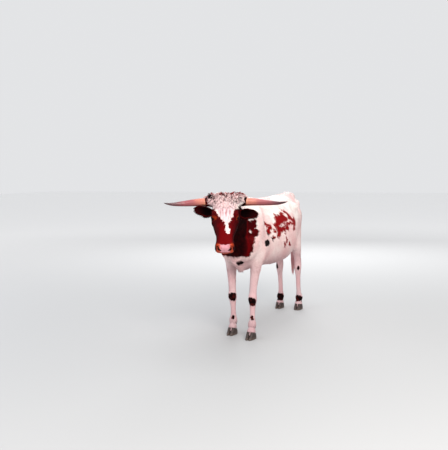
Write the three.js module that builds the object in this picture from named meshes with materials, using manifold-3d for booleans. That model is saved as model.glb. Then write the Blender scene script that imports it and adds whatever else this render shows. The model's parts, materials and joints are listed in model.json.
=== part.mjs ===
// A Texas longhorn, life size, standing square with its head turned towards the viewer.
// Millimetres, +Z up, the nose towards -Y and the animal's own left towards +X.
// The body is one soft shape, a blend of stacked sections, round bones and bulges. Each
// named part of it is a skin of rays cast from that part's own axis out to the blend, and
// neighbours are parted by thin cuts. Horns, eyes, ears, hooves and locks of hair are added.
import * as THREE from "three";
import { mergeVertices } from "three/addons/utils/BufferGeometryUtils.js";
import Module from "manifold-3d";

const wasm = await Module();
wasm.setup();

// Driving dimensions
const GAP = 0.3; // between parts that meet
const SHIFT = new THREE.Vector3(-55, 252, 0); // moves the middle of the model's box to the origin
const HEAD_YAW = 24; // degrees, turned to the animal's left
const HEAD_PITCH = 49; // degrees, the nose below the poll
const POLL = new THREE.Vector3(17, -938, 1244); // between the horns, on the horns' axis
const FORE_LEG_Y = -595;
const HIND_LEG_Y = 592;
const LEG_X = 112;
const FORE_STRIDE = 38; // each forefoot's step forward or back from FORE_LEG_Y
const HIND_STRIDE = 6;
const HOOF_TOP = 62;
const HORN_REACH = 518; // from the middle of the poll to a horn's tip
const HORN_RADIUS = 36;
const EYE_RADIUS = 19;

const LEFT = new THREE.Vector3(1, 0, 0);
const FORWARD = new THREE.Vector3(0, -1, 0);
const UP = new THREE.Vector3(0, 0, 1);
const radians = THREE.MathUtils.degToRad;
const lerp = THREE.MathUtils.lerp;
const clamp = THREE.MathUtils.clamp;
const smoothstep = THREE.MathUtils.smoothstep;

// A place with its own three directions, for shapes that are described along an axis.
class Frame {
  constructor(origin, along, up, side) {
    Object.assign(this, { origin, along, up, side });
  }

  point(at, across, rise) {
    return this.origin
      .clone()
      .addScaledVector(this.along, at)
      .addScaledVector(this.side, across)
      .addScaledVector(this.up, rise);
  }

  local(point) {
    const from = point.clone().sub(this.origin);
    return [from.dot(this.along), from.dot(this.side), from.dot(this.up)];
  }

  direction(along, side, up) {
    return new THREE.Vector3()
      .addScaledVector(this.along, along)
      .addScaledVector(this.side, side)
      .addScaledVector(this.up, up)
      .normalize();
  }
}

// A smooth curve through the values that stations give under one key, as a function of `at`.
function through(stations, key) {
  const x = stations.map((s) => s.at);
  const y = stations.map((s) => s[key]);
  const last = x.length - 1;
  const slope = x.map((_, i) => {
    const a = Math.max(i - 1, 0);
    const b = Math.min(i + 1, last);
    return (y[b] - y[a]) / (x[b] - x[a]);
  });
  return (at) => {
    const p = clamp(at, x[0], x[last]);
    let i = 0;
    while (i < last - 1 && p > x[i + 1]) i += 1;
    const h = x[i + 1] - x[i];
    const t = (p - x[i]) / h;
    const t2 = t * t;
    const t3 = t2 * t;
    return (
      (2 * t3 - 3 * t2 + 1) * y[i] +
      (t3 - 2 * t2 + t) * h * slope[i] +
      (3 * t2 - 2 * t3) * y[i + 1] +
      (t3 - t2) * h * slope[i + 1]
    );
  };
}

// Soft shapes: each has distance(point), negative inside.

const SECTION_KEYS = ["out", "in", "up", "down", "sway", "rise", "crest", "keel"];
const TABLE_STEP = 4;

// Rounded sections stacked along a frame's axis. A station gives half sizes towards the
// side (out), away from it (in), up and down, the centre's offsets (sway and rise), and how
// square the upper and lower halves are (crest and keel, 2 for an ellipse).
class Stack {
  constructor(frame, stations) {
    this.frame = frame;
    const full = stations
      .map((s) => ({ sway: 0, rise: 0, crest: 2, keel: 2, in: s.out, ...s }))
      .sort((a, b) => a.at - b.at);
    this.first = full[0].at;
    this.last = full[full.length - 1].at;
    const curves = SECTION_KEYS.map((key) => through(full, key));
    const count = Math.ceil((this.last - this.first) / TABLE_STEP) + 1;
    this.table = Array.from({ length: count + 1 }, (_, i) =>
      curves.map((curve) => curve(this.first + i * TABLE_STEP)),
    );
  }

  section(at) {
    const place = (clamp(at, this.first, this.last) - this.first) / TABLE_STEP;
    const i = Math.floor(place);
    const t = place - i;
    const a = this.table[i];
    const b = this.table[i + 1];
    return a.map((value, k) => value + (b[k] - value) * t);
  }

  reach(section, cosine, sine) {
    const [out, inner, up, down, , , crest, keel] = section;
    const wide = Math.abs(cosine) / (cosine > 0 ? out : inner);
    const tall = Math.abs(sine) / (sine > 0 ? up : down);
    const power = sine > 0 ? crest : keel;
    return (wide ** power + tall ** power) ** (-1 / power);
  }

  distance(point) {
    const [at, side, rise] = this.frame.local(point);
    const section = this.section(at);
    const a = side - section[4];
    const b = rise - section[5];
    const r = Math.max(Math.hypot(a, b), 1e-6);
    const inside = r - this.reach(section, a / r, b / r);
    const beyond = Math.abs(at - clamp(at, this.first, this.last));
    return inside > 0 ? Math.hypot(inside, beyond) : Math.max(inside, beyond || inside);
  }
}

// An ellipsoid with its radii along a frame's axis, side and up.
class Bulge {
  constructor(frame, radii) {
    Object.assign(this, { frame, radii });
  }

  distance(point) {
    const q = this.frame.local(point);
    let scaled = 0;
    let steep = 0;
    q.forEach((value, i) => {
      scaled += (value / this.radii[i]) ** 2;
      steep += (value / this.radii[i] ** 2) ** 2;
    });
    const k = Math.sqrt(scaled);
    return (k * (k - 1)) / Math.max(Math.sqrt(steep), 1e-9);
  }
}

// A bone or muscle with a round section that goes from one radius to another.
class Limb {
  constructor(from, to, fromRadius, toRadius = fromRadius) {
    Object.assign(this, { from, to, fromRadius, toRadius });
    this.span = to.clone().sub(from);
  }

  distance(point) {
    const offset = point.clone().sub(this.from);
    const t = clamp(offset.dot(this.span) / this.span.lengthSq(), 0, 1);
    return (
      offset.addScaledVector(this.span, -t).length() -
      lerp(this.fromRadius, this.toRadius, t)
    );
  }
}

// Two shapes melted together with a fillet of about that radius.
function melt(a, b, radius) {
  const near = Math.max(radius - Math.abs(a - b), 0) / radius;
  return Math.min(a, b) - (near * near * radius) / 4;
}

const at = (x, y, z) => new THREE.Vector3(x, y, z);
const level = (x, y, z) => new Frame(at(x, y, z), FORWARD, UP, LEFT);
const mirrored = (point) => at(Math.abs(point.x), point.y, point.z);

// Torso: `at` is forward of the middle of the body, and heights are above the ground.
const torsoStations = [
  { at: 742, top: 985, bottom: 840, widest: 910, half: 44 },
  { at: 708, top: 1085, bottom: 748, widest: 902, half: 106 },
  { at: 645, top: 1178, bottom: 668, widest: 892, half: 152 },
  { at: 560, top: 1224, bottom: 622, widest: 882, half: 172, crest: 1.8 },
  { at: 480, top: 1238, bottom: 612, widest: 874, half: 184, crest: 1.65 },
  { at: 380, top: 1230, bottom: 608, widest: 866, half: 206, crest: 1.75 },
  { at: 240, top: 1220, bottom: 600, widest: 860, half: 236, crest: 1.9, keel: 2.1 },
  { at: 60, top: 1219, bottom: 584, widest: 858, half: 256, crest: 2, keel: 2.15 },
  { at: -110, top: 1225, bottom: 581, widest: 862, half: 256, crest: 2.05, keel: 2.15 },
  { at: -240, top: 1235, bottom: 606, widest: 885, half: 232, crest: 2, keel: 2.1 },
  { at: -350, top: 1246, bottom: 655, widest: 930, half: 196, crest: 1.85 },
  { at: -450, top: 1252, bottom: 715, widest: 965, half: 170, crest: 1.55 },
  { at: -550, top: 1253, bottom: 785, widest: 990, half: 144, crest: 1.4 },
  { at: -630, top: 1240, bottom: 850, widest: 1005, half: 118, crest: 1.45 },
  { at: -688, top: 1196, bottom: 912, widest: 1015, half: 84, crest: 1.7 },
  { at: -718, top: 1130, bottom: 970, widest: 1030, half: 38 },
];

const torsoCore = new Stack(
  level(0, 0, 0),
  torsoStations.map(({ top, bottom, widest, half, ...rest }) => ({
    ...rest,
    out: half,
    up: top - widest,
    down: widest - bottom,
    rise: widest,
  })),
);

// The masses of shoulder and rump, on the left, met again on the right by mirroring.
const shoulderPoint = at(138, -668, 872);
const torsoMasses = [
  // shoulder blade
  [new Limb(at(78, -478, 1146), at(136, -610, 940), 56, 66), 60],
  // point of the shoulder to the elbow
  [new Limb(shoulderPoint, at(132, -545, 745), 58, 62), 60],
  // muscle behind the upper arm
  [new Bulge(level(128, -500, 838), [118, 66, 130]), 55],
  // breast muscle
  [new Bulge(level(82, -684, 800), [70, 82, 96]), 60],
  // loin to hip bone
  [new Limb(at(50, 190, 1186), at(136, 345, 1128), 28, 32), 70],
  // hip bone
  [new Bulge(level(146, 350, 1118), [48, 34, 34]), 45],
  // rump muscle
  [new Limb(at(94, 400, 1040), at(60, 630, 1030), 78, 62), 60],
  // hip joint
  [new Bulge(level(104, 490, 1000), [84, 52, 84]), 60],
  // pin bone
  [new Bulge(level(58, 684, 1136), [34, 32, 40]), 50],
];
const tailHead = new Limb(at(0, 520, 1232), at(0, 668, 1212), 24, 27);
const brisket = new Limb(at(0, -712, 770), at(0, -560, 655), 44, 42);
const backbone = new Limb(at(0, -440, 1212), at(0, 560, 1231), 22, 20);
const sheath = new Limb(at(0, 40, 596), at(0, 170, 600), 24, 30);

function torsoFlesh(point) {
  const p = mirrored(point);
  let d = torsoCore.distance(p);
  for (const [mass, radius] of torsoMasses) d = melt(d, mass.distance(p), radius);
  d = melt(d, tailHead.distance(p), 55);
  d = melt(d, backbone.distance(p), 40);
  d = melt(d, sheath.distance(p), 45);
  return melt(d, brisket.distance(p), 70);
}

// Head: a frame with `at` down the face, the side to the animal's left and up out of the face.
const yaw = radians(HEAD_YAW);
const pitch = radians(HEAD_PITCH);
const headFrame = new Frame(
  POLL,
  at(Math.cos(pitch) * Math.sin(yaw), -Math.cos(pitch) * Math.cos(yaw), -Math.sin(pitch)),
  at(Math.sin(pitch) * Math.sin(yaw), -Math.sin(pitch) * Math.cos(yaw), Math.cos(pitch)),
  at(Math.cos(yaw), Math.sin(yaw), 0),
);
const onHead = (down, across, out) => headFrame.point(down, across, out);
const headCore = new Stack(headFrame, [
  { at: -46, out: 62, up: 16, down: 52, rise: -8 },
  { at: -30, out: 88, up: 34, down: 72, rise: -6 },
  { at: 10, out: 98, up: 52, down: 98, crest: 2.4 },
  { at: 60, out: 100, up: 66, down: 122, crest: 2.6 },
  { at: 120, out: 103, up: 75, down: 136, crest: 2.8 },
  { at: 180, out: 106, up: 78, down: 144, crest: 2.9, keel: 1.8 },
  { at: 230, out: 97, up: 76, down: 136, crest: 2.7, keel: 1.8 },
  { at: 285, out: 84, up: 71, down: 112, crest: 2.5, keel: 1.9 },
  { at: 340, out: 75, up: 65, down: 90, crest: 2.4, keel: 2 },
  { at: 395, out: 71, up: 57, down: 76, crest: 2.4, keel: 2.2 },
  { at: 440, out: 74, up: 50, down: 66, crest: 2.5, keel: 2.3 },
  { at: 475, out: 71, up: 38, down: 52, crest: 2.5, keel: 2.3 },
  { at: 497, out: 54, up: 24, down: 34, crest: 2.4, keel: 2.2 },
  { at: 508, out: 26, up: 8, down: 14 },
]);

const turned = (down, across, out) =>
  new Frame(onHead(down, across, out), headFrame.along, headFrame.up, headFrame.side);
const EYE_SEAT = { down: 186, across: 90, out: 36 };
const headMasses = [
  // brow over the eye
  [new Limb(onHead(140, 84, 52), onHead(184, 92, 58), 20, 20), 30],
  // rim of the orbit behind and below the eye
  [new Limb(onHead(168, 102, 12), onHead(222, 96, 12), 14, 14), 26],
  // jaw muscle
  [new Bulge(turned(182, 66, -58), [80, 33, 70]), 40],
  // edge of the jaw, angle to chin
  [new Limb(onHead(166, 52, -116), onHead(330, 40, -70), 26, 20), 40],
  // cheek bone ridge
  [new Limb(onHead(230, 84, -2), onHead(320, 60, 6), 16, 14), 30],
  // nostril wing
  [new Bulge(turned(462, 46, 18), [30, 26, 24]), 26],
  // upper lip
  [new Bulge(turned(466, 48, -16), [36, 28, 24]), 24],
  // root of the ear
  [new Limb(onHead(94, 78, -32), onHead(90, 104, -30), 42, 26), 40],
];
const pollRidge = new Limb(onHead(-4, 0, 0), onHead(-2, 164, 0), 45, 39);
const lowerLip = new Bulge(turned(458, 0, -48), [32, 44, 20]);
const nosePad = new Bulge(turned(482, 0, 12), [22, 44, 26]);

function headFlesh(point) {
  const [down, across, out] = headFrame.local(point);
  const p = onHead(down, Math.abs(across), out);
  let d = headCore.distance(p);
  for (const [mass, radius] of headMasses) d = melt(d, mass.distance(p), radius);
  d = melt(d, pollRidge.distance(p), 40);
  d = melt(d, nosePad.distance(p), 20);
  return melt(d, lowerLip.distance(p), 24);
}

// Neck: from the shoulders to behind the head, with the dewlap under it.
const neckStart = at(0, -560, 1030);
const neckEnd = at(12, -905, 1136);
const neckAlong = neckEnd.clone().sub(neckStart).normalize();
const neckSide = neckAlong.clone().cross(UP).normalize().negate();
if (neckSide.x < 0) neckSide.negate();
const neckUp = UP.clone().addScaledVector(neckAlong, -UP.dot(neckAlong)).normalize();
const neckFrame = new Frame(neckStart, neckAlong, neckUp, neckSide);
const neckLength = neckEnd.distanceTo(neckStart);
const neckCore = new Stack(neckFrame, [
  { at: -160, out: 80, up: 110, down: 200 },
  { at: -60, out: 146, up: 185, down: 290 },
  { at: 40, out: 152, up: 180, down: 275, crest: 1.8 },
  { at: 130, out: 134, up: 160, down: 235, crest: 1.8 },
  { at: 220, out: 112, up: 146, down: 190, crest: 1.9 },
  { at: 300, out: 98, up: 140, down: 155 },
  { at: neckLength, out: 90, up: 132, down: 128 },
  { at: neckLength + 70, out: 66, up: 92, down: 84 },
  { at: neckLength + 110, out: 30, up: 40, down: 40 },
]);
const dewlapLine = [
  at(14, -902, 978),
  at(10, -850, 905),
  at(5, -800, 835),
  at(2, -762, 762),
  at(0, -718, 690),
  at(0, -640, 622),
];
const DEWLAP_RADII = [12, 13, 14, 16, 20, 22];
const dewlap = dewlapLine
  .slice(1)
  .map((to, i) => new Limb(dewlapLine[i], to, DEWLAP_RADII[i], DEWLAP_RADII[i + 1]));

function dewlapFlesh(point) {
  return dewlap.reduce((d, fold) => melt(d, fold.distance(point), 16), 1e3);
}

function frontFlesh(point) {
  let d = melt(torsoFlesh(point), neckCore.distance(point), 90);
  d = melt(d, dewlapFlesh(point), 60);
  return melt(d, headFlesh(point), 46);
}

// Legs: `at` is the height, `out` away from the body, `up` towards the front.
const foreStations = [
  { at: 830, x: 26, y: 40, out: 40, in: 40, up: 62, down: 60 },
  { at: 760, x: 24, y: 42, out: 50, in: 54, up: 76, down: 78 },
  { at: 700, x: 20, y: 38, out: 50, in: 52, up: 70, down: 74 },
  { at: 640, x: 14, y: 32, out: 46, in: 50, up: 58, down: 58 },
  { at: 560, x: 8, y: 20, out: 40, in: 44, up: 47, down: 46 },
  { at: 470, x: 2, y: 8, out: 34, in: 37, up: 38, down: 36 },
  { at: 410, x: 0, y: 3, out: 33, in: 35, up: 36, down: 33 },
  { at: 375, x: 0, y: 0, out: 37, in: 39, up: 38, down: 36, crest: 2.4 },
  { at: 340, x: 0, y: 0, out: 37, in: 39, up: 38, down: 39, crest: 2.5 },
  { at: 305, x: 0, y: 0, out: 30, in: 31, up: 29, down: 36 },
  { at: 255, x: 0, y: 0, out: 24, in: 25, up: 23, down: 31 },
  { at: 190, x: 0, y: -1, out: 24, in: 25, up: 23, down: 31 },
  { at: 150, x: 0, y: -2, out: 30, in: 30, up: 27, down: 36, crest: 2.3 },
  { at: 124, x: 0, y: -4, out: 33, in: 33, up: 29, down: 36, crest: 2.3 },
  { at: 98, x: 0, y: -12, out: 31, in: 31, up: 28, down: 31 },
  { at: 74, x: 0, y: -20, out: 38, in: 38, up: 39, down: 34, crest: 2.2 },
  { at: 52, x: 0, y: -25, out: 43, in: 43, up: 45, down: 38, crest: 2.4 },
  { at: 30, x: 0, y: -31, out: 44, in: 44, up: 48, down: 38, crest: 2.4 },
];
const hindStations = [
  { at: 1120, x: -40, y: -82, out: 34, in: 34, up: 60, down: 56 },
  { at: 1030, x: -36, y: -75, out: 54, in: 58, up: 118, down: 130 },
  { at: 940, x: -31, y: -64, out: 62, in: 74, up: 142, down: 158 },
  { at: 850, x: -26, y: -64, out: 61, in: 72, up: 150, down: 148 },
  { at: 770, x: -18, y: -68, out: 54, in: 62, up: 136, down: 126 },
  { at: 700, x: -10, y: -62, out: 48, in: 52, up: 108, down: 96 },
  { at: 640, x: -6, y: -42, out: 42, in: 45, up: 78, down: 62 },
  { at: 580, x: -6, y: -28, out: 37, in: 39, up: 54, down: 52 },
  { at: 530, x: -8, y: -14, out: 34, in: 36, up: 45, down: 62, keel: 1.8 },
  { at: 490, x: -9, y: -8, out: 37, in: 39, up: 45, down: 56, keel: 1.9 },
  { at: 450, x: -9, y: -8, out: 37, in: 38, up: 42, down: 46 },
  { at: 405, x: -9, y: -5, out: 30, in: 31, up: 33, down: 38 },
  { at: 350, x: -10, y: 2, out: 25, in: 25, up: 26, down: 34 },
  { at: 260, x: -11, y: 10, out: 23, in: 24, up: 23, down: 32 },
  { at: 190, x: -10, y: 17, out: 24, in: 25, up: 23, down: 33 },
  { at: 152, x: -8, y: 22, out: 31, in: 31, up: 27, down: 37, crest: 2.3 },
  { at: 124, x: -7, y: 22, out: 34, in: 34, up: 29, down: 36, crest: 2.3 },
  { at: 98, x: -7, y: 14, out: 32, in: 32, up: 28, down: 31 },
  { at: 74, x: -7, y: 7, out: 37, in: 37, up: 38, down: 34, crest: 2.2 },
  { at: 52, x: -7, y: 3, out: 42, in: 42, up: 44, down: 38, crest: 2.4 },
  { at: 30, x: -7, y: -3, out: 43, in: 43, up: 47, down: 38, crest: 2.4 },
];

// side is 1 on the animal's left and -1 on its right; step moves the foot forward.
function makeLeg(stations, y, side, step, bones) {
  const frame = new Frame(at(0, 0, 0), UP, FORWARD, LEFT.clone().multiplyScalar(side));
  const lean = (height) => step * (1 - smoothstep(height, 60, 720));
  const full = stations.map(({ x, y: back, ...rest }) => ({
    ...rest,
    sway: LEG_X + x,
    rise: -(y + back) + lean(rest.at),
  }));
  const core = new Stack(frame, full);
  const limbs = bones.map(([from, to, fromRadius, toRadius, radius]) => {
    const place = ([out, back, height]) =>
      frame.point(height, LEG_X + out, -(y + back) + lean(height));
    return [new Limb(place(from), place(to), fromRadius, toRadius), radius];
  });
  const flesh = (point) =>
    limbs.reduce((d, [limb, radius]) => melt(d, limb.distance(point), radius), core.distance(point));
  return { core, frame, flesh, side };
}

// Bones and tendons that show: out, back and height of each end, two radii and a fillet.
const foreBones = [
  // back of the knee
  [[0, 30, 372], [0, 32, 345], 15, 14, 22],
  // tendons down the back of the cannon
  [[0, 24, 320], [0, 24, 170], 11, 11, 12],
  // two cannon bones' heads at the fetlock
  [[14, -6, 134], [15, -8, 122], 22, 22, 14],
  [[-14, -6, 134], [-15, -8, 122], 22, 22, 14],
  // ridge of the elbow
  [[10, 108, 748], [12, 84, 690], 22, 26, 36],
];
const hindBones = [
  // point of the hock, then the cord above it
  [[-8, 42, 538], [-8, 36, 484], 17, 20, 22],
  [[-8, 40, 545], [-2, 0, 690], 13, 22, 22],
  // stifle
  [[6, -186, 742], [2, -168, 690], 34, 30, 50],
  // front of the hock
  [[-9, -26, 466], [-9, -18, 432], 22, 20, 20],
  // tendons down the back of the cannon
  [[-9, 18, 400], [-10, 42, 170], 11, 11, 12],
  // two cannon bones' heads at the fetlock
  [[7, 20, 134], [8, 18, 122], 22, 22, 14],
  [[-21, 20, 134], [-22, 18, 122], 22, 22, 14],
];
const legs = {
  left_fore: makeLeg(foreStations, FORE_LEG_Y, 1, FORE_STRIDE, foreBones),
  right_fore: makeLeg(foreStations, FORE_LEG_Y, -1, -FORE_STRIDE, foreBones),
  left_hind: makeLeg(hindStations, HIND_LEG_Y, 1, -HIND_STRIDE, hindBones),
  right_hind: makeLeg(hindStations, HIND_LEG_Y, -1, HIND_STRIDE, hindBones),
};

// Skins: rays from an axis out to a soft shape's surface.

const MARCH_STEPS = 44;
const HALVINGS = 14;

function exitDistance(flesh, centre, direction, limit, offset) {
  const probe = new THREE.Vector3();
  const value = (t) => flesh(probe.copy(centre).addScaledVector(direction, t)) - offset;
  let inside = 0;
  for (let i = 1; i <= MARCH_STEPS; i += 1) {
    const t = (limit * i) / MARCH_STEPS;
    if (value(t) > 0) {
      let outside = t;
      for (let k = 0; k < HALVINGS; k += 1) {
        const middle = (inside + outside) / 2;
        if (value(middle) > 0) outside = middle;
        else inside = middle;
      }
      return Math.max(inside, 1.5);
    }
    inside = t;
  }
  return limit;
}

// Closed mesh through rings of points, each end closed to one point.
function closedRings(rings, firstPole, lastPole) {
  const around = rings[0].length;
  const points = [...rings.flat(), firstPole, lastPole];
  const index = [];
  const id = (i, j) => i * around + (j % around);
  for (let i = 0; i + 1 < rings.length; i += 1) {
    for (let j = 0; j < around; j += 1) {
      index.push(id(i, j), id(i, j + 1), id(i + 1, j + 1));
      index.push(id(i, j), id(i + 1, j + 1), id(i + 1, j));
    }
  }
  const first = points.length - 2;
  for (let j = 0; j < around; j += 1) {
    index.push(first, id(0, j + 1), id(0, j));
    index.push(first + 1, id(rings.length - 1, j), id(rings.length - 1, j + 1));
  }
  return facingOut(new THREE.BufferGeometry().setFromPoints(points).setIndex(index));
}

function facingOut(geometry) {
  const position = geometry.getAttribute("position");
  const index = geometry.getIndex().array;
  const [a, b, c] = [at(0, 0, 0), at(0, 0, 0), at(0, 0, 0)];
  let volume = 0;
  for (let i = 0; i < index.length; i += 3) {
    a.fromBufferAttribute(position, index[i]);
    b.fromBufferAttribute(position, index[i + 1]);
    c.fromBufferAttribute(position, index[i + 2]);
    volume += a.dot(b.cross(c));
  }
  if (volume < 0) {
    for (let i = 0; i < index.length; i += 3) {
      [index[i + 1], index[i + 2]] = [index[i + 2], index[i + 1]];
    }
  }
  return geometry;
}

// Stops along an axis for castSkin: a dome's rays tilt towards the end it closes.
function domeStops(centre, frame, tilts, limit) {
  return tilts.map((tilt) => ({ centre, frame, tilt: radians(tilt), limit }));
}

// A bound keeps the skin within so much of another shape's surface.
function castSkin(flesh, stops, around, { offset = 0, bound } = {}) {
  const ray = (stop, angle, tilt) => {
    const { frame, centre } = stop;
    const direction = frame.direction(
      Math.sin(tilt),
      Math.cos(tilt) * Math.cos(angle),
      Math.cos(tilt) * Math.sin(angle),
    );
    const limit = typeof stop.limit === "function" ? stop.limit(angle) : stop.limit;
    let t = exitDistance(flesh, centre, direction, limit, offset);
    if (bound) {
      const kept = exitDistance(bound.flesh, centre, direction, limit, offset);
      t = Math.min(t, kept + bound.spare);
    }
    return centre.clone().addScaledVector(direction, t);
  };
  const rings = stops.map((stop) =>
    Array.from({ length: around }, (_, j) =>
      ray(stop, (2 * Math.PI * (j + 0.5)) / around, stop.tilt ?? 0),
    ),
  );
  const pole = (stop) =>
    stop.tilt ? ray(stop, 0, (Math.sign(stop.tilt) * Math.PI) / 2) : stop.centre;
  return closedRings(rings, pole(stops[0]), pole(stops[stops.length - 1]));
}

// Solids: joins and cuts.

function solidOf(geometry) {
  const bare = geometry.clone();
  bare.deleteAttribute("normal");
  bare.deleteAttribute("uv");
  const merged = mergeVertices(bare, 1e-4);
  return new wasm.Manifold(
    new wasm.Mesh({
      numProp: 3,
      vertProperties: merged.getAttribute("position").array,
      triVerts: new Uint32Array(merged.getIndex().array),
    }),
  );
}

function geometryOf(solid) {
  const mesh = solid.getMesh();
  return new THREE.BufferGeometry()
    .setAttribute("position", new THREE.BufferAttribute(mesh.vertProperties, mesh.numProp))
    .setIndex(new THREE.BufferAttribute(mesh.triVerts, 1));
}

const joined = (solids) => solids.reduce((a, b) => a.add(b));

function largest(solid) {
  return solid.decompose().reduce((a, b) => (b.volume() > a.volume() ? b : a));
}

const HALF_SPACE = 4000;

// The half space on the side of a plane that its normal points to.
function halfSpace(point, normal) {
  const box = new THREE.BoxGeometry(HALF_SPACE, HALF_SPACE, HALF_SPACE);
  box.translate(0, 0, HALF_SPACE / 2);
  const turn = new THREE.Quaternion().setFromUnitVectors(UP, normal.clone().normalize());
  box.applyQuaternion(turn);
  box.translate(point.x, point.y, point.z);
  return solidOf(box);
}

// A plane that parts two neighbours, with the gap shared between its sides.
class Seam {
  constructor(point, normal) {
    const n = normal.clone().normalize();
    this.ahead = halfSpace(point.clone().addScaledVector(n, GAP / 2), n);
    this.behind = halfSpace(point.clone().addScaledVector(n, -GAP / 2), n.clone().negate());
  }
}

function ellipsoid(frame, radii, around = 16, rings = 10) {
  const ball = new THREE.SphereGeometry(1, around, rings);
  const basis = new THREE.Matrix4().makeBasis(
    frame.along.clone().multiplyScalar(radii[0]),
    frame.side.clone().multiplyScalar(radii[1]),
    frame.up.clone().multiplyScalar(radii[2]),
  );
  ball.applyMatrix4(basis.setPosition(frame.origin));
  return solidOf(facingOut(withoutRepeats(ball)));
}

function withoutRepeats(geometry) {
  geometry.deleteAttribute("normal");
  geometry.deleteAttribute("uv");
  return mergeVertices(geometry, 1e-4);
}

// A round rod along a curve, with a radius at each fraction of it, and a closed tip.
function rod(curve, radiusAt, steps, around, grow = 0) {
  const frames = curve.computeFrenetFrames(steps);
  const rings = [];
  for (let i = 0; i <= steps; i += 1) {
    const t = i / steps;
    const centre = curve.getPointAt(t);
    const radius = Math.max(radiusAt(t), 0.6) + grow;
    rings.push(
      Array.from({ length: around }, (_, j) => {
        const angle = (2 * Math.PI * j) / around;
        return centre
          .clone()
          .addScaledVector(frames.normals[i], Math.cos(angle) * radius)
          .addScaledVector(frames.binormals[i], Math.sin(angle) * radius);
      }),
    );
  }
  const tip = curve.getPointAt(1).addScaledVector(frames.tangents[steps], 1.5 + grow);
  return solidOf(closedRings(rings, curve.getPointAt(0), tip));
}

// A flat lock of hair through points, thin along their lifts and drawn in to its tip.
const LOCK_OUTLINE = [0.75, 1, 0.95, 0.78, 0.5, 0.2];

function lock(points, lifts, width, thickness) {
  const count = points.length;
  const curve = new THREE.CatmullRomCurve3(points);
  const outline = (t) => {
    const place = t * (LOCK_OUTLINE.length - 1);
    const i = Math.min(Math.floor(place), LOCK_OUTLINE.length - 2);
    return lerp(LOCK_OUTLINE[i], LOCK_OUTLINE[i + 1], place - i);
  };
  const rings = points.map((point, i) => {
    const t = i / (count - 1);
    const along = curve.getTangent(t);
    const across = along.clone().cross(lifts[i]).normalize();
    const lift = across.clone().cross(along).normalize();
    const half = (width / 2) * outline(t);
    const thick = (thickness / 2) * lerp(1, 0.4, t);
    return [
      point.clone().addScaledVector(across, half),
      point.clone().addScaledVector(lift, thick),
      point.clone().addScaledVector(across, -half),
      point.clone().addScaledVector(lift, -thick),
    ];
  });
  const tip = points[count - 1].clone().addScaledVector(curve.getTangent(1), width * 0.35);
  return solidOf(closedRings(rings, points[0], tip));
}

// A seeded draw between two values.
function drawer(seed) {
  let state = seed;
  return (from, to) => {
    state = (state * 1664525 + 1013904223) % 4294967296;
    return lerp(from, to, state / 4294967296);
  };
}

// The whole animal's flesh without its legs is frontFlesh, and with them wholeFlesh.
const LEG_FILLET = 46;

function wholeFlesh(point) {
  let d = frontFlesh(point);
  for (const leg of Object.values(legs)) d = melt(d, leg.flesh(point), LEG_FILLET);
  return d;
}

const neckSeam = new Seam(at(0, -600, 1000), at(0, -0.905, 0.425));
const midSeam = new Seam(at(0, 0, 0), LEFT);
const headSeam = new Seam(onHead(-45, 0, -40), headFrame.direction(0.488, 0, 0.874));

// Torso
const TORSO_AROUND = 32;
const TORSO_STEPS = 23;
const TORSO_START = -660;
const TORSO_END = 640;

function torsoSkin(offset) {
  const centre = (forward) =>
    at(0, -forward, lerp(900, 1020, smoothstep(-forward, 250, 600)));
  const frame = level(0, 0, 0);
  const limit = 520;
  const stops = [
    ...domeStops(centre(TORSO_START), frame, [-74, -56, -38, -19], limit),
    ...Array.from({ length: TORSO_STEPS + 1 }, (_, i) => ({
      centre: centre(lerp(TORSO_START, TORSO_END, i / TORSO_STEPS)),
      frame,
      limit,
    })),
    ...domeStops(centre(TORSO_END), frame, [24, 46, 68], limit),
  ];
  const bound = { flesh: frontFlesh, spare: LEG_FILLET / 4 };
  return solidOf(castSkin(wholeFlesh, stops, TORSO_AROUND, { offset, bound }));
}

// Neck
const NECK_AROUND = 26;
const NECK_STEPS = 11;

function neckSkin() {
  const stops = Array.from({ length: NECK_STEPS + 1 }, (_, i) => {
    const t = i / NECK_STEPS;
    return {
      centre: neckFrame.point(lerp(-90, neckLength + 150, t), 0, lerp(-60, 0, t)),
      frame: neckFrame,
      limit: lerp(470, 300, t),
    };
  });
  return solidOf(castSkin(frontFlesh, stops, NECK_AROUND));
}

// Head
const HEAD_AROUND = 36;
const HEAD_STEPS = 25;
const HEAD_START = 6;
const HEAD_END = 462;
const MOUTH_START = 372;

const headCentre = (down) => onHead(down, 0, lerp(-24, -4, smoothstep(down, 0, 420)));

function headSkin(offset) {
  const limit = 250;
  const stops = [
    ...domeStops(headCentre(HEAD_START), headFrame, [-80, -64, -50, -38, -28, -18, -9], limit),
    ...Array.from({ length: HEAD_STEPS + 1 }, (_, i) => ({
      centre: headCentre(lerp(HEAD_START, HEAD_END, i / HEAD_STEPS)),
      frame: headFrame,
      limit,
    })),
    ...domeStops(headCentre(HEAD_END), headFrame, [16, 32, 48, 66], limit),
  ];
  return solidOf(castSkin(frontFlesh, stops, HEAD_AROUND, { offset }));
}

// The muzzle's inside, which leaves the mouth line this deep below the lips.
const MOUTH_DEPTH = 7;

function muzzleCore() {
  const limit = 250;
  const stops = [
    ...Array.from({ length: 8 }, (_, i) => ({
      centre: headCentre(lerp(MOUTH_START - 30, HEAD_END, i / 7)),
      frame: headFrame,
      limit,
    })),
    ...domeStops(headCentre(HEAD_END), headFrame, [28, 56], limit),
  ];
  return solidOf(castSkin(frontFlesh, stops, 24, { offset: -MOUTH_DEPTH }));
}

// Mouth line: a thin slab across the muzzle, less the muzzle's core.
const MOUTH_WIDTH = 3.2;

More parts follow.
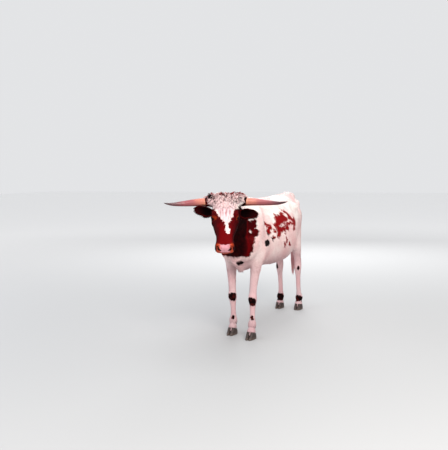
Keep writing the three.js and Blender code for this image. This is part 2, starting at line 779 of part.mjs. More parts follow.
function mouthCut() {
  const slab = new THREE.BoxGeometry(200, 220, MOUTH_WIDTH);
  slab.translate(100, 0, 0);
  const tilt = radians(7);
  const along = headFrame.direction(Math.cos(tilt), 0, Math.sin(tilt));
  const up = headFrame.direction(-Math.sin(tilt), 0, Math.cos(tilt));
  slab.applyMatrix4(
    new THREE.Matrix4()
      .makeBasis(along, up.clone().cross(along), up)
      .setPosition(onHead(MOUTH_START, 0, -42)),
  );
  return solidOf(facingOut(withoutRepeats(slab))).subtract(muzzleCore());
}

// Nostrils: commas that open forward and outward on each side of the nose pad.
function nostrilCuts(side) {
  const out = headFrame.direction(0.62, 0.55 * side, 0.56);
  const rise = headFrame.direction(-0.5, 0.62 * side, 0.6);
  const slant = rise.clone().addScaledVector(out, -rise.dot(out)).normalize();
  const wing = out.clone().cross(slant);
  const pocket = new Frame(onHead(484, 37 * side, 16), out, slant, wing);
  const tail = new Frame(onHead(474, 50 * side, 26), out, slant, wing);
  return [ellipsoid(pocket, [20, 8.5, 15], 12, 8), ellipsoid(tail, [13, 5, 12], 10, 6)];
}

// Eyes: a ball in its socket, looking outward and a little forward, between two lids.
const LID = 4.2;
const EYE_ASIDE = 96;

function eyeFrame(side) {
  const look = headFrame.direction(-0.1, 0.86 * side, 0.5);
  const slit = headFrame.direction(1, 0.06 * side, 0.16);
  const along = slit.addScaledVector(look, -slit.dot(look)).normalize();
  return new Frame(onHead(186, EYE_ASIDE * side, 38), look, along.clone().cross(look), along);
}

function eyeBall(side, radius) {
  const frame = eyeFrame(side);
  return ellipsoid(frame, [radius, radius, radius], 12, 7);
}

// The room in front of the ball that the lids' edges leave open.
function eyeOpening(side) {
  const frame = eyeFrame(side);
  const ahead = new Frame(frame.point(EYE_RADIUS + 3, 0, 0), frame.along, frame.up, frame.side);
  return ellipsoid(ahead, [18, 25, 13], 12, 6);
}

function lids(side) {
  const frame = eyeFrame(side);
  const shell = ellipsoid(frame, [1, 1.25, 1.05].map((k) => k * (EYE_RADIUS + LID)), 14, 8);
  const upward = frame.up.clone().multiplyScalar(Math.sign(frame.up.dot(headFrame.up)));
  const parts = [
    [26, upward],
    [22, upward.clone().negate()],
  ].map(([open, away]) => {
    const normal = away
      .clone()
      .multiplyScalar(Math.cos(radians(open)))
      .addScaledVector(frame.along, -Math.sin(radians(open)));
    return shell.intersect(halfSpace(frame.origin, normal));
  });
  return joined(parts);
}

// Horns: level and outward, sweeping forward, the tips turned up.
const HORN_LINE = [
  { out: 96, forward: -4, up: -4 },
  { out: 180, forward: 0, up: 0 },
  { out: 260, forward: 5, up: -3 },
  { out: 350, forward: 20, up: -9 },
  { out: 440, forward: 48, up: -12 },
  { out: 492, forward: 74, up: -5 },
  { out: HORN_REACH, forward: 92, up: 4 },
];
const HORN_TAPER = [
  { at: 0, radius: 1 },
  { at: 0.2, radius: 1 },
  { at: 0.4, radius: 0.86 },
  { at: 0.6, radius: 0.66 },
  { at: 0.75, radius: 0.48 },
  { at: 0.88, radius: 0.3 },
  { at: 0.96, radius: 0.15 },
  { at: 1, radius: 0.03 },
];
const hornTaper = through(HORN_TAPER, "radius");
const headForward = at(Math.sin(yaw), -Math.cos(yaw), 0);

function horn(side, grow = 0) {
  const points = HORN_LINE.map(({ out, forward, up }) =>
    POLL.clone()
      .addScaledVector(headFrame.side, out * side)
      .addScaledVector(headForward, forward)
      .addScaledVector(UP, up),
  );
  const curve = new THREE.CatmullRomCurve3(points);
  return rod(curve, (t) => HORN_RADIUS * hornTaper(t), 13, 11, grow);
}

// Ears: a leaf that curls round its own axis, deepest near its root.
const EAR_LENGTH = 176;
const EAR_HALF = 47;
const EAR_STEPS = 9;
const EAR_ACROSS = 5;

function ear(side, grow = 0) {
  const lift = side > 0 ? -0.16 : 0.14;
  const along = headFrame
    .direction(0, side, 0)
    .addScaledVector(UP, lift)
    .addScaledVector(headForward, -0.12)
    .normalize();
  const open = headForward.clone().addScaledVector(UP, -0.25);
  open.addScaledVector(along, -open.dot(along)).normalize();
  const up = along.clone().cross(open).multiplyScalar(side).normalize();
  const root = onHead(88, 98 * side, -30);
  const rings = [];
  for (let i = 0; i <= EAR_STEPS; i += 1) {
    const t = i / EAR_STEPS;
    const width = EAR_HALF * (0.5 + 0.5 * smoothstep(t, 0, 0.42)) * Math.sqrt(Math.max(1 - t ** 3.2, 0.02));
    const curl = radians(lerp(118, 48, smoothstep(t, 0, 0.75)));
    const radius = width / Math.sin(Math.min(curl, Math.PI / 2)) + grow;
    const thick = lerp(9, 5, t) + 2 * grow;
    const bow = 10 * Math.sin(Math.PI * t);
    const centre = root
      .clone()
      .addScaledVector(along, t * EAR_LENGTH + (t > 0.5 ? grow : -grow))
      .addScaledVector(open, radius - bow - 14);
    const edge = (angle, r) =>
      centre
        .clone()
        .addScaledVector(open, -Math.cos(angle) * r)
        .addScaledVector(up, Math.sin(angle) * r);
    const outer = Array.from({ length: EAR_ACROSS + 1 }, (_, j) =>
      edge(lerp(-curl, curl, j / EAR_ACROSS), radius),
    );
    const inner = Array.from({ length: EAR_ACROSS + 1 }, (_, j) =>
      edge(lerp(curl * 0.97, -curl * 0.97, j / EAR_ACROSS), radius - thick),
    );
    rings.push([...outer, ...inner]);
  }
  const middle = (ring) =>
    ring.reduce((sum, p) => sum.add(p), at(0, 0, 0)).divideScalar(ring.length);
  const backward = (ring) => middle([ring[2], ring[EAR_ACROSS + 4]]);
  return solidOf(closedRings(rings, backward(rings[0]), backward(rings[EAR_STEPS])));
}

// Forelock: flat curls from the poll, which fall down the forehead and over the horns' roots.
const POLL_LOCKS = { rows: 4, columns: 6, length: [70, 108], width: [34, 44], thickness: 10 };
const LOCK_POINTS = 5;

// A point on the poll: so far down the face, or over the crest where negative, and across.
function onPoll(down, across, lift) {
  const around = down < 0 ? -down / 52 : 0;
  const centre = onHead(Math.max(down, 0) - 3, across, -8);
  const out = headFrame.direction(-Math.sin(around), 0, Math.cos(around));
  const surface = exitDistance(frontFlesh, centre, out, 160, 0);
  const point = centre.addScaledVector(out, surface);
  const normal = outwardAt(point);
  return { point: point.addScaledVector(normal, lift), normal };
}

function outwardAt(point) {
  const step = 2;
  const slope = (direction) =>
    frontFlesh(point.clone().addScaledVector(direction, step)) -
    frontFlesh(point.clone().addScaledVector(direction, -step));
  return at(slope(LEFT), -slope(FORWARD), slope(UP)).normalize();
}

function forelock() {
  const draw = drawer(7);
  const locks = [];
  const { rows, columns, length, width, thickness } = POLL_LOCKS;
  for (let row = 0; row < rows; row += 1) {
    for (let column = 0; column < columns; column += 1) {
      const spread = (column + 0.5 + draw(-0.2, 0.2) + (row % 2) * 0.4) / columns - 0.5;
      const startAcross = spread * 2 * lerp(158, 96, row / rows);
      const startDown = lerp(-84, 42, row / rows) + draw(-8, 8);
      const reach = draw(...length);
      const heading = spread * 1.1 + draw(-0.2, 0.2);
      const wave = draw(-9, 9);
      const course = Array.from({ length: LOCK_POINTS }, (_, i) => {
        const t = i / (LOCK_POINTS - 1);
        const down = startDown + t * reach * Math.cos(heading);
        const sway = wave * Math.sin(t * Math.PI * 1.6);
        const across = clamp(startAcross + t * reach * Math.sin(heading) + sway, -168, 168);
        const lift = -7 + 27 * Math.sin(Math.PI * Math.min(t * 0.84, 1));
        return onPoll(down, across, lift);
      });
      locks.push(
        lock(
          course.map(({ point }) => point),
          course.map(({ normal }) => normal),
          draw(...width),
          thickness,
        ),
      );
    }
  }
  return locks;
}

// Legs
const LEG_AROUND = 12;
const KNEE = 352;
const HOCK = 462;
const ROOT_SPREAD = 60;

function legSkin(leg, heights, rootFade) {
  const { core, frame } = leg;
  const [fadeFrom, fadeTo] = rootFade;
  const stops = heights.map((height) => {
    const section = core.section(height);
    const spread = lerp(ROOT_SPREAD, 0, smoothstep(height, fadeFrom, fadeTo));
    return {
      centre: frame.point(height, section[4], section[5]),
      frame,
      limit: (angle) =>
        Math.max(core.reach(section, Math.cos(angle), Math.sin(angle)) + spread, 12),
    };
  });
  return solidOf(castSkin(wholeFlesh, stops, LEG_AROUND));
}

// Hooves: two claws side by side under a sloping coronet, and two dewclaws behind.
const CLAW_AROUND = 10;
const CLAW_RINGS = [
  { height: 0, toe: 84, heel: 37, half: 22.5 },
  { height: 8, toe: 80, heel: 39, half: 23.5 },
  { height: 38, toe: 55, heel: 38, half: 22.5 },
  { height: 84, toe: 18, heel: 33, half: 20 },
];
const CLEFT = 1.6;
const CORONET_TILT = 14;

function coronetSeam(leg, [x, y]) {
  const normal = at(0, Math.sin(radians(CORONET_TILT)), Math.cos(radians(CORONET_TILT)));
  return new Seam(leg.frame.point(HOOF_TOP - 10, x, -y), normal);
}

function claw(leg, which, x, y) {
  const rings = CLAW_RINGS.map(({ height, toe, heel, half }) =>
    Array.from({ length: CLAW_AROUND }, (_, j) => {
      const angle = (2 * Math.PI * (j + 0.5)) / CLAW_AROUND;
      const cosine = Math.cos(angle);
      const sine = Math.sin(angle);
      const flat = cosine * which < 0 ? 0.72 : 1;
      const across = Math.sign(cosine) * Math.abs(cosine) ** 0.7 * half * flat;
      const length = sine > 0 ? toe : heel;
      const inward = sine > 0 ? which * -6 * sine * (height < 30 ? 1 : 0.4) : 0;
      const middle = which * (CLEFT + half * 0.72 + 1);
      return leg.frame.point(height, x + middle + across + inward, -y + sine * length);
    }),
  );
  const centre = (height) => leg.frame.point(height, x + which * 20, -y);
  return solidOf(closedRings(rings, centre(0), centre(CLAW_RINGS.at(-1).height)));
}

function dewclaw(leg, which, x, y, grow = 0) {
  const up = at(0, 0.5, 0.87);
  const side = leg.frame.side.clone();
  const along = up.clone().cross(side);
  const frame = new Frame(leg.frame.point(96, x + which * 17, -y - 30), up, along, side);
  return ellipsoid(frame, [17 + grow, 10 + grow, 12 + grow], 7, 4);
}

// Tail: a thin dock from the tail head, and a switch of long locks at its end.
const TAIL_LINE = [
  at(0, 640, 1224),
  at(0, 688, 1224),
  at(0, 728, 1196),
  at(0, 748, 1120),
  at(-2, 748, 1000),
  at(-4, 738, 860),
  at(-4, 728, 720),
  at(-2, 726, 600),
];
const TAIL_RADII = [26, 13];
const SWITCH_LOCKS = 8;
const SWITCH_LENGTH = [190, 300];

// The switch has a slim core half way to its tips, with its locks set round it.
function tail() {
  const curve = new THREE.CatmullRomCurve3(TAIL_LINE);
  const radius = (t) => lerp(TAIL_RADII[0], TAIL_RADII[1], Math.min(t * 1.5, 1));
  const end = TAIL_LINE.at(-1);
  const core = new Frame(end.clone().addScaledVector(UP, -20), UP, FORWARD, LEFT);
  const draw = drawer(11);
  const locks = Array.from({ length: SWITCH_LOCKS }, (_, i) => {
    const angle = i * 2.4;
    const out = at(Math.cos(angle), Math.sin(angle), 0);
    const start = curve.getPointAt(lerp(0.86, 0.985, i / SWITCH_LOCKS));
    const reach = draw(...SWITCH_LENGTH);
    const flare = draw(22, 32);
    const points = Array.from({ length: LOCK_POINTS }, (_, k) => {
      const t = k / (LOCK_POINTS - 1);
      const bulge = flare * Math.sin(Math.PI * Math.min(t * 0.84 + 0.1, 1));
      return start
        .clone()
        .addScaledVector(out, bulge)
        .addScaledVector(UP, -t * reach);
    });
    return lock(points, points.map(() => out), draw(26, 34), 10);
  });
  return joined([
    rod(curve, radius, 17, 9),
    ellipsoid(core, [130, 19, 19], 9, 8),
    ...locks,
  ]);
}

// Build every node.
const nodes = [];
const add = (name, solid, finish) => nodes.push([name, largest(solid), finish]);
const SIDES = [
  ["left", 1],
  ["right", -1],
];

const torsoGrown = torsoSkin(GAP * 1.2);
add("torso", torsoSkin(0).intersect(neckSeam.behind), "white_coat");
add("neck", neckSkin().intersect(neckSeam.ahead).intersect(headSeam.behind), "red_coat");

const headGrown = headSkin(GAP * 1.2);
let head = headSkin(0);
for (const [, side] of SIDES) {
  head = head.subtract(eyeOpening(side)).subtract(eyeBall(side, EYE_RADIUS + LID * 0.7));
}
head = joined([head, ...SIDES.map(([, side]) => lids(side)), ...forelock()]);
head = head.intersect(headSeam.ahead).subtract(mouthCut());
for (const [name, side] of SIDES) {
  const hornSolid = horn(side).subtract(headGrown);
  const earSolid = ear(side).subtract(headGrown);
  head = head.subtract(eyeBall(side, EYE_RADIUS + GAP));
  nostrilCuts(side).forEach((pocket) => {
    head = head.subtract(pocket);
  });
  head = head.subtract(horn(side, GAP * 1.3).subtract(headGrown));
  head = head.subtract(ear(side, GAP * 1.3).subtract(headGrown));
  add(`${name}_horn`, hornSolid, "horn");
  add(`${name}_ear`, earSolid, "red_coat");
  add(`${name}_eye`, eyeBall(side, EYE_RADIUS), "eye");
}
add("head", head, "red_coat");
add("tail", tail().subtract(torsoGrown), "white_coat");

for (const [name, leg] of Object.entries(legs)) {
  const fore = name.endsWith("fore");
  const joint = fore ? KNEE : HOCK;
  const heights = [40, 60, 80, 98, 118, 138, 160, 220, 290, 316, 342, 366, 392, 425];
  const upper = fore
    ? [470, 525, 580, 630, 675, 715, 750, 785, 830]
    : [450, 476, 502, 528, 554, 590, 635, 685, 740, 800, 860, 920, 985, 1060];
  const ownSide = leg.side > 0 ? midSeam.ahead : midSeam.behind;
  const heightsUp = [...heights, ...upper];
  const whole = legSkin(leg, heightsUp, fore ? [720, 810] : [900, 1040]).intersect(ownSide);
  const seam = new Seam(at(0, 0, joint), UP);
  const foot = leg.core.section(HOOF_TOP);
  const footAt = [foot[4], -foot[5]];
  const coronet = coronetSeam(leg, footAt);
  add(`${name}_upper_leg`, whole.intersect(seam.ahead).subtract(torsoGrown), "white_coat");
  let lower = whole.intersect(seam.behind).intersect(coronet.ahead);
  for (const [which, out] of [
    ["outer", 1],
    ["inner", -1],
  ]) {
    const clawSolid = claw(leg, out, ...footAt).intersect(coronet.behind);
    add(`${name}_${which}_claw`, clawSolid, "hoof");
    lower = lower.subtract(dewclaw(leg, out, ...footAt, GAP));
    add(`${name}_${which}_dewclaw`, dewclaw(leg, out, ...footAt), "hoof");
  }
  add(`${name}_lower_leg`, lower, "white_coat");
}

const finishes = {
  white_coat: { color: "#e6dad2", roughness: 0.8, metalness: 0 },
  red_coat: { color: "#6a1f17", roughness: 0.75, metalness: 0 },
  horn: { color: "#a8745c", roughness: 0.4, metalness: 0 },
  hoof: { color: "#3a2c28", roughness: 0.5, metalness: 0 },
  eye: { color: "#120b09", roughness: 0.1, metalness: 0 },
};

const longhorn = new THREE.Group();
for (const [name, solid, finish] of nodes) {
  const mesh = new THREE.Mesh(geometryOf(solid), new THREE.MeshStandardMaterial(finishes[finish]));
  mesh.name = name;
  mesh.position.copy(SHIFT);
  longhorn.add(mesh);
}

export default longhorn;
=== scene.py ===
"""A Texas longhorn, built as a still, life-size museum model.

The body is one skin over the soft shape of the CAD: sections, bones and muscles that melt
together. Coat, locks, horns, ears, eyes and hooves are pieces on it. The numbers of the soft
shape are millimetres in the CAD's own drawing frame: +Z up, the nose towards -Y and the
animal's own left towards +X. A piece's mesh is in metres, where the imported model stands.
"""

from __future__ import annotations

import json
import logging
import math
from dataclasses import dataclass, field, fields
from enum import Enum, IntEnum
from typing import Callable, Iterable, Protocol, Sequence

import bpy
import numpy as np
from mathutils import Matrix, Vector

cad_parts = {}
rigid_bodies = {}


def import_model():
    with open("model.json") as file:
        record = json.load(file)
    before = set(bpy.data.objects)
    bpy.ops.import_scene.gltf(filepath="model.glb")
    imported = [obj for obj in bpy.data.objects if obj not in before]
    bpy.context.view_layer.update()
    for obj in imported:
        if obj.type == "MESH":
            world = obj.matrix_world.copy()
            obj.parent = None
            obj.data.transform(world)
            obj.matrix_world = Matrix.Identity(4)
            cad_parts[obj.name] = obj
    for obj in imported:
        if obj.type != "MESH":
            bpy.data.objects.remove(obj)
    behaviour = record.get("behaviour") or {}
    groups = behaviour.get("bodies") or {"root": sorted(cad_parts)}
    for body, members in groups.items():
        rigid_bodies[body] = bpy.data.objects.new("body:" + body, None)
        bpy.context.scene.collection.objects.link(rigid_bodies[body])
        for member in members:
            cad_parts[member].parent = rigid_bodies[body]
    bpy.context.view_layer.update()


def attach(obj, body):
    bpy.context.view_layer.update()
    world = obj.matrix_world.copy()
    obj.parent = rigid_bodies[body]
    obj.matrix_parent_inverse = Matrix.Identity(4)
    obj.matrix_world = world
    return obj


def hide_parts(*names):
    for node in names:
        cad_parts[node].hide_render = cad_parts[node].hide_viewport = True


Array, Piece, Material = np.ndarray, bpy.types.Object, bpy.types.Material
Tree, Node, Socket = bpy.types.NodeTree, bpy.types.Node, bpy.types.NodeSocket

log = logging.getLogger("longhorn")

MM = 0.001
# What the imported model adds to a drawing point, and a distance past any on the animal
SHIFT = np.array([-55.0, 252.0, 0.0])
FAR = 1000.0
LEFT = np.array([1.0, 0.0, 0.0])
FORWARD = np.array([0.0, -1.0, 0.0])
UP = np.array([0.0, 0.0, 1.0])
SIDES = {"left": 1, "right": -1}


class Slot(Enum):
    """The record's material slots."""

    WHITE = "white_coat"
    RED = "red_coat"
    HORN = "horn"
    HOOF = "hoof"
    EYE = "eye"


def spot(x: float, y: float, z: float) -> Array:
    """Return one point or direction of the drawing frame."""
    return np.array([x, y, z], float)


def unit(vector: Array) -> Array:
    """Return vectors scaled to a length of one."""
    length = np.linalg.norm(vector, axis=-1, keepdims=True)
    return vector / np.maximum(length, 1e-9)


def lerp(a: float, b: float, t: Array | float) -> Array | float:
    """Return the value a share t of the way from a to b."""
    return a + (b - a) * t


def smooth(value: Array | float, low: float, high: float) -> Array | float:
    """Return a soft step that is 0 up to low and 1 from high."""
    t = np.clip((np.asarray(value, float) - low) / (high - low), 0.0, 1.0)
    return t * t * (3.0 - 2.0 * t)


def bell(value: Array | float, middle: float, half: float) -> Array | float:
    """Return a soft bump of height 1 at middle, gone about twice half away."""
    return np.exp(-(((np.asarray(value, float) - middle) / half) ** 2))


def dots(a: Array, b: Array) -> Array:
    """Return the dot products of matching rows."""
    return np.einsum("...i,...i->...", a, b)


@dataclass(frozen=True)
class Axes:
    """A place with its own three directions, for shapes described along an axis."""

    origin: Array
    along: Array
    up: Array
    side: Array

    def point(self, at: Array, across: Array, rise: Array) -> Array:
        """Return the points so far along, across and up.

        Args:
            at: Distances along the axis.
            across: Distances towards the side.
            rise: Distances towards up.

        Returns:
            An array of points with a last axis of three.
        """
        parts = ((at, self.along), (across, self.side), (rise, self.up))
        return self.origin + sum(np.asarray(v, float)[..., None] * d for v, d in parts)

    def local(self, points: Array) -> tuple[Array, Array, Array]:
        """Return how far along, across and up each point lies."""
        away = points - self.origin
        return away @ self.along, away @ self.side, away @ self.up

    def direction(self, along: float, side: float, up: float) -> Array:
        """Return a unit direction made of shares of the three."""
        return unit(along * self.along + side * self.side + up * self.up)

    def at(self, origin: Array) -> Axes:
        """Return the same directions at another place."""
        return Axes(origin, self.along, self.up, self.side)


def sided(side: int, word: str) -> str:
    """Return the name of one side's piece."""
    return f"{'left' if side > 0 else 'right'}_{word}"


def level(x: float, y: float, z: float) -> Axes:
    """Return level axes that point forward, up and left."""
    return Axes(spot(x, y, z), FORWARD, UP, LEFT)


def through(x: Sequence[float], y: Sequence[float], at: Array) -> Array:
    """Return a smooth curve through stations.

    Args:
        x: The stations' places, rising.
        y: The value at each station.
        at: The places asked for.

    Returns:
        The curve's values at those places.
    """
    xs, ys = np.asarray(x, float), np.asarray(y, float)
    last = len(xs) - 1
    before = np.maximum(np.arange(last + 1) - 1, 0)
    after = np.minimum(np.arange(last + 1) + 1, last)
    slope = (ys[after] - ys[before]) / (xs[after] - xs[before])
    p = np.clip(at, xs[0], xs[-1])
    i = np.clip(np.searchsorted(xs, p, side="left") - 1, 0, last - 1)
    h = xs[i + 1] - xs[i]
    t = (p - xs[i]) / h
    t2, t3 = t * t, t * t * t
    return (
        (2 * t3 - 3 * t2 + 1) * ys[i]
        + (t3 - 2 * t2 + t) * h * slope[i]
        + (3 * t2 - 2 * t3) * ys[i + 1]
        + (t3 - t2) * h * slope[i + 1]
    )


class Shape(Protocol):
    """A soft shape: its distance is negative inside."""

    centre: Array
    radius: float

    def distance(self, points: Array) -> Array:
        """Return each point's distance from the surface."""

    def rough(self, rig: Rough, mirror: Callable | None) -> None:
        """Add a plain closed mesh of the shape to the rough body."""


class Rough:
    """Gathers plain closed balls that are later melted into one skin."""

    def __init__(self) -> None:
        """Start with no balls."""
        self.pieces: list[Piece] = []

    def ball(self, place: Callable, segments: int = 24, rings: int = 16) -> None:
        """Add a sphere primitive and move its vertices.

        Args:
            place: Maps unit-sphere points to drawing points.
            segments: Faces round the ball.
            rings: Faces from pole to pole.
        """
        bpy.ops.mesh.primitive_uv_sphere_add(segments=segments, ring_count=rings)
        piece = bpy.context.object
        put_points(piece, place(raw_points(piece)))
        self.pieces.append(piece)

    def pair(
        self, place: Callable, mirror: Callable | None, segments: int = 24, rings: int = 16
    ) -> None:
        """Add a ball, and its mirror image where there is one.

        Args:
            place: Maps unit-sphere points to drawing points.
            mirror: Moves points to the other half, where there is one.
            segments: Faces round the ball.
            rings: Faces from pole to pole.
        """
        self.ball(place, segments, rings)
        if mirror:
            self.ball(lambda b: mirror(place(b)), segments, rings)

    def joined(self) -> Piece:
        """Return every ball as one object.

        Returns:
            The rough body.
        """
        select_only(self.pieces)
        bpy.ops.object.join()
        return bpy.context.object


class Stack:
    """Rounded sections stacked along an axis, as in the CAD."""

    KEYS = ("out", "in", "up", "down", "sway", "rise", "crest", "keel")
    STEP = 4.0
    ROOM = 140.0

    def __init__(self, axes: Axes, stations: Iterable[dict]) -> None:
        """Tabulate the sections.

        Args:
            axes: The stack's place and directions.
            stations: Half sizes, offsets and squareness by place along the axis.
        """
        plain = {"sway": 0, "rise": 0, "crest": 2, "keel": 2}
        full = sorted(({**plain, "in": s["out"], **s} for s in stations), key=lambda s: s["at"])
        self.axes = axes
        self.first, self.last = full[0]["at"], full[-1]["at"]
        count = math.ceil((self.last - self.first) / self.STEP) + 2
        at = self.first + np.arange(count) * self.STEP
        places = [s["at"] for s in full]
        columns = [through(places, [s[key] for s in full], at) for key in self.KEYS]
        self.table = np.stack(columns, axis=1)
        self.centre = axes.point((self.first + self.last) / 2, 0, np.mean(self.table[:, 5]))
        self.radius = (self.last - self.first) / 2 + float(self.table[:, :4].max()) + self.ROOM

    def section(self, at: Array) -> Array:
        """Return the section's eight values at places along the axis.

        Args:
            at: Places along the axis.

        Returns:
            A row for each place, in the order of KEYS.
        """
        place = (np.clip(at, self.first, self.last) - self.first) / self.STEP
        i = np.floor(place).astype(int)
        t = (place - i)[..., None]
        return self.table[i] * (1 - t) + self.table[i + 1] * t

    @staticmethod
    def reach(section: Array, cosine: Array, sine: Array) -> Array:
        """Return the radius of sections in given directions.

        Args:
            section: Rows of the eight values.
            cosine: The directions' shares to the side.
            sine: The directions' shares up.

        Returns:
            A radius for each direction.
        """
        out, inner, up, down, _, _, crest, keel = np.moveaxis(section, -1, 0)
        wide = np.abs(cosine) / np.where(cosine > 0, out, inner)
        tall = np.abs(sine) / np.where(sine > 0, up, down)
        power = np.where(sine > 0, crest, keel)
        return (wide**power + tall**power) ** (-1 / power)

    def distance(self, points: Array) -> Array:
        """Return each point's distance from the surface.

        Args:
            points: Points of the drawing frame.

        Returns:
            Millimetres, negative inside.
        """
        at, side, rise = self.axes.local(points)
        section = self.section(at)
        a, b = side - section[:, 4], rise - section[:, 5]
        r = np.maximum(np.hypot(a, b), 1e-6)
        inside = r - self.reach(section, a / r, b / r)
        beyond = np.abs(at - np.clip(at, self.first, self.last))
        within = np.where(beyond > 0, beyond, inside)
        return np.where(inside > 0, np.hypot(inside, beyond), within)

    def rough(self, rig: Rough, mirror: Callable | None) -> None:
        """Add a plain closed mesh of the shape to the rough body.

        Args:
            rig: Gathers the rough body's balls.
            mirror: Not used, because a stack is a whole core and never half of one.
        """
        rings = max(int((self.last - self.first) / 16), 6)

        def place(ball: Array) -> Array:
            """Return where the points of a unit ball go.

            Args:
                ball: Points of a ball with a radius of one.

            Returns:
                Points of the drawing frame.
            """
            turn = np.arccos(np.clip(-ball[:, 2], -1, 1)) / math.pi * rings
            at = lerp(self.first, self.last, np.clip((turn - 1) / (rings - 2), 0, 1))
            flat = np.hypot(ball[:, 0], ball[:, 1])
            section = self.section(at)
            pole = flat < 1e-4
            cosine = np.where(pole, 1, ball[:, 0] / np.maximum(flat, 1e-6))
            sine = np.where(pole, 0, ball[:, 1] / np.maximum(flat, 1e-6))
            r = np.where(pole, 0, self.reach(section, cosine, sine))
            return self.axes.point(at, section[:, 4] + cosine * r, section[:, 5] + sine * r)

        rig.ball(place, 32, rings)


class Bulge:
    """An ellipsoid with its radii along an axis, to the side and up."""

    def __init__(self, axes: Axes, radii: Sequence[float]) -> None:
        """Keep the place and the three radii."""
        self.axes, self.radii = axes, np.asarray(radii, float)
        self.centre, self.radius = axes.origin, float(self.radii.max())

    def distance(self, points: Array) -> Array:
        """Return each point's distance from the surface.

        Args:
            points: Points of the drawing frame.

        Returns:
            Millimetres, negative inside.
        """
        q = np.stack(self.axes.local(points), axis=1)
        k = np.sqrt(((q / self.radii) ** 2).sum(axis=1))
        steep = np.sqrt(((q / self.radii**2) ** 2).sum(axis=1))
        return k * (k - 1) / np.maximum(steep, 1e-9)

    def rough(self, rig: Rough, mirror: Callable | None) -> None:
        """Add a plain closed mesh of the shape to the rough body."""
        rig.pair(lambda b: self.axes.point(*(b * self.radii).T), mirror)


class Limb:
    """A bone or muscle with a round section that goes from one radius to another."""

    def __init__(self, start: Array, end: Array, near: float, far: float) -> None:
        """Keep the two ends and their radii.

        Args:
            start: One end.
            end: The other end.
            near: The radius at the start.
            far: The radius at the end.
        """
        self.start, self.end, self.near, self.far = start, end, near, far
        self.centre = (start + end) / 2
        self.radius = float(np.linalg.norm(end - start)) / 2 + max(near, far)

    def distance(self, points: Array) -> Array:
        """Return each point's distance from the surface.

        Args:
            points: Points of the drawing frame.

        Returns:
            Millimetres, negative inside.
        """
        span = self.end - self.start
        away = points - self.start
        t = np.clip(away @ span / max(span @ span, 1e-9), 0, 1)
        gap = np.linalg.norm(away - t[:, None] * span, axis=1)
        return gap - lerp(self.near, self.far, t)

    def rough(self, rig: Rough, mirror: Callable | None) -> None:
        """Add a plain closed mesh of the shape to the rough body.

        Args:
            rig: Gathers the rough body's balls.
            mirror: Moves points to the other half, where there is one.
        """
        along = unit(self.end - self.start)
        side = unit(np.cross(along, spot(0.31, 0.54, 0.78)))
        up = np.cross(along, side)

        def place(ball: Array) -> Array:
            """Return where the points of a unit ball go.

            Args:
                ball: Points of a ball with a radius of one.

            Returns:
                Points of the drawing frame.
            """
            far = ball[:, 2:] > 0.01
            r = np.where(far, self.far, self.near)
            turned = ball[:, :1] * side + ball[:, 1:2] * up + ball[:, 2:] * along
            return np.where(far, self.end, self.start) + turned * r

        rig.pair(place, mirror, 16, 10)


def melt(a: Array, b: Array, radius: float) -> Array:
    """Return two shapes' distances melted together with a fillet of that radius."""
    near = np.maximum(radius - np.abs(a - b), 0) / radius
    return np.minimum(a, b) - near * near * radius / 4


class Blend:
    """Shapes melted together one after another, each only where it is near enough to matter."""

    MARGIN = 60.0

    def __init__(
        self,
        parts: Sequence[tuple[Shape, float]],
        fold: Callable | None = None,
        mirror: Callable | None = None,
    ) -> None:
        """Gather the shapes.

        Args:
            parts: Each shape with the fillet it melts in with.
            fold: Moves points onto one half, where the shape is symmetric.
            mirror: Moves points to the other half.
        """
        self.parts, self.fold, self.mirror = list(parts), fold, mirror
        centres = [p.centre for p, _ in self.parts]
        if mirror:
            centres += [mirror(p.centre[None])[0] for p, _ in self.parts]
        radii = [p.radius for p, _ in self.parts] * (2 if mirror else 1)
        self.centre = np.mean(centres, axis=0)
        away = [np.linalg.norm(c - self.centre) + r for c, r in zip(centres, radii)]
        self.radius = float(max(away))

    def distance(self, points: Array) -> Array:
        """Return each point's distance from the surface.

        Args:
            points: Points of the drawing frame.

        Returns:
            Millimetres, negative inside.
        """
        folded = self.fold(points) if self.fold else points
        result = np.full(len(points), FAR)
        for shape, fillet in self.parts:
            away = np.linalg.norm(folded - shape.centre, axis=1) - shape.radius
            near = away < fillet + self.MARGIN
            if near.any():
                result[near] = melt(result[near], shape.distance(folded[near]), fillet)
        return result

    def rough(self, rig: Rough, mirror: Callable | None) -> None:
        """Add plain closed meshes of the shapes to the rough body."""
        for shape, _ in self.parts:
            shape.rough(rig, self.mirror)


# Mesh helpers


def select_only(pieces: Sequence[Piece]) -> None:
    """Select just these objects and make the first one active.

    Args:
        pieces: The objects.
    """
    if bpy.context.object and bpy.context.object.mode != "OBJECT":
        bpy.ops.object.mode_set(mode="OBJECT")
    bpy.ops.object.select_all(action="DESELECT")
    for piece in pieces:
        piece.select_set(True)
    bpy.context.view_layer.objects.active = pieces[0]


def open_mesh(piece: Piece, kind: str, chosen: Sequence[bool]) -> None:
    """Enter edit mode with some of a mesh's elements selected.

    Args:
        piece: The mesh object.
        kind: Which elements: vertices or polygons.
        chosen: Whether each of them is selected.
    """
    select_only([piece])
    by_kind = (kind == "vertices", False, kind == "polygons")
    bpy.context.tool_settings.mesh_select_mode = by_kind
    bpy.ops.object.mode_set(mode="EDIT")
    bpy.ops.mesh.select_all(action="DESELECT")
    bpy.ops.object.mode_set(mode="OBJECT")
    getattr(piece.data, kind).foreach_set("select", chosen)
    bpy.ops.object.mode_set(mode="EDIT")


def raw_points(piece: Piece) -> Array:
    """Return a mesh's vertices as they are stored.

    Args:
        piece: The mesh object.

    Returns:
        A row for each vertex, in metres on a placed piece.
    """
    flat = np.empty(len(piece.data.vertices) * 3)
    piece.data.vertices.foreach_get("co", flat)
    return flat.reshape(-1, 3)


def drawing_points(piece: Piece) -> Array:
    """Return a placed mesh's vertices in the drawing frame."""
    return raw_points(piece) / MM - SHIFT


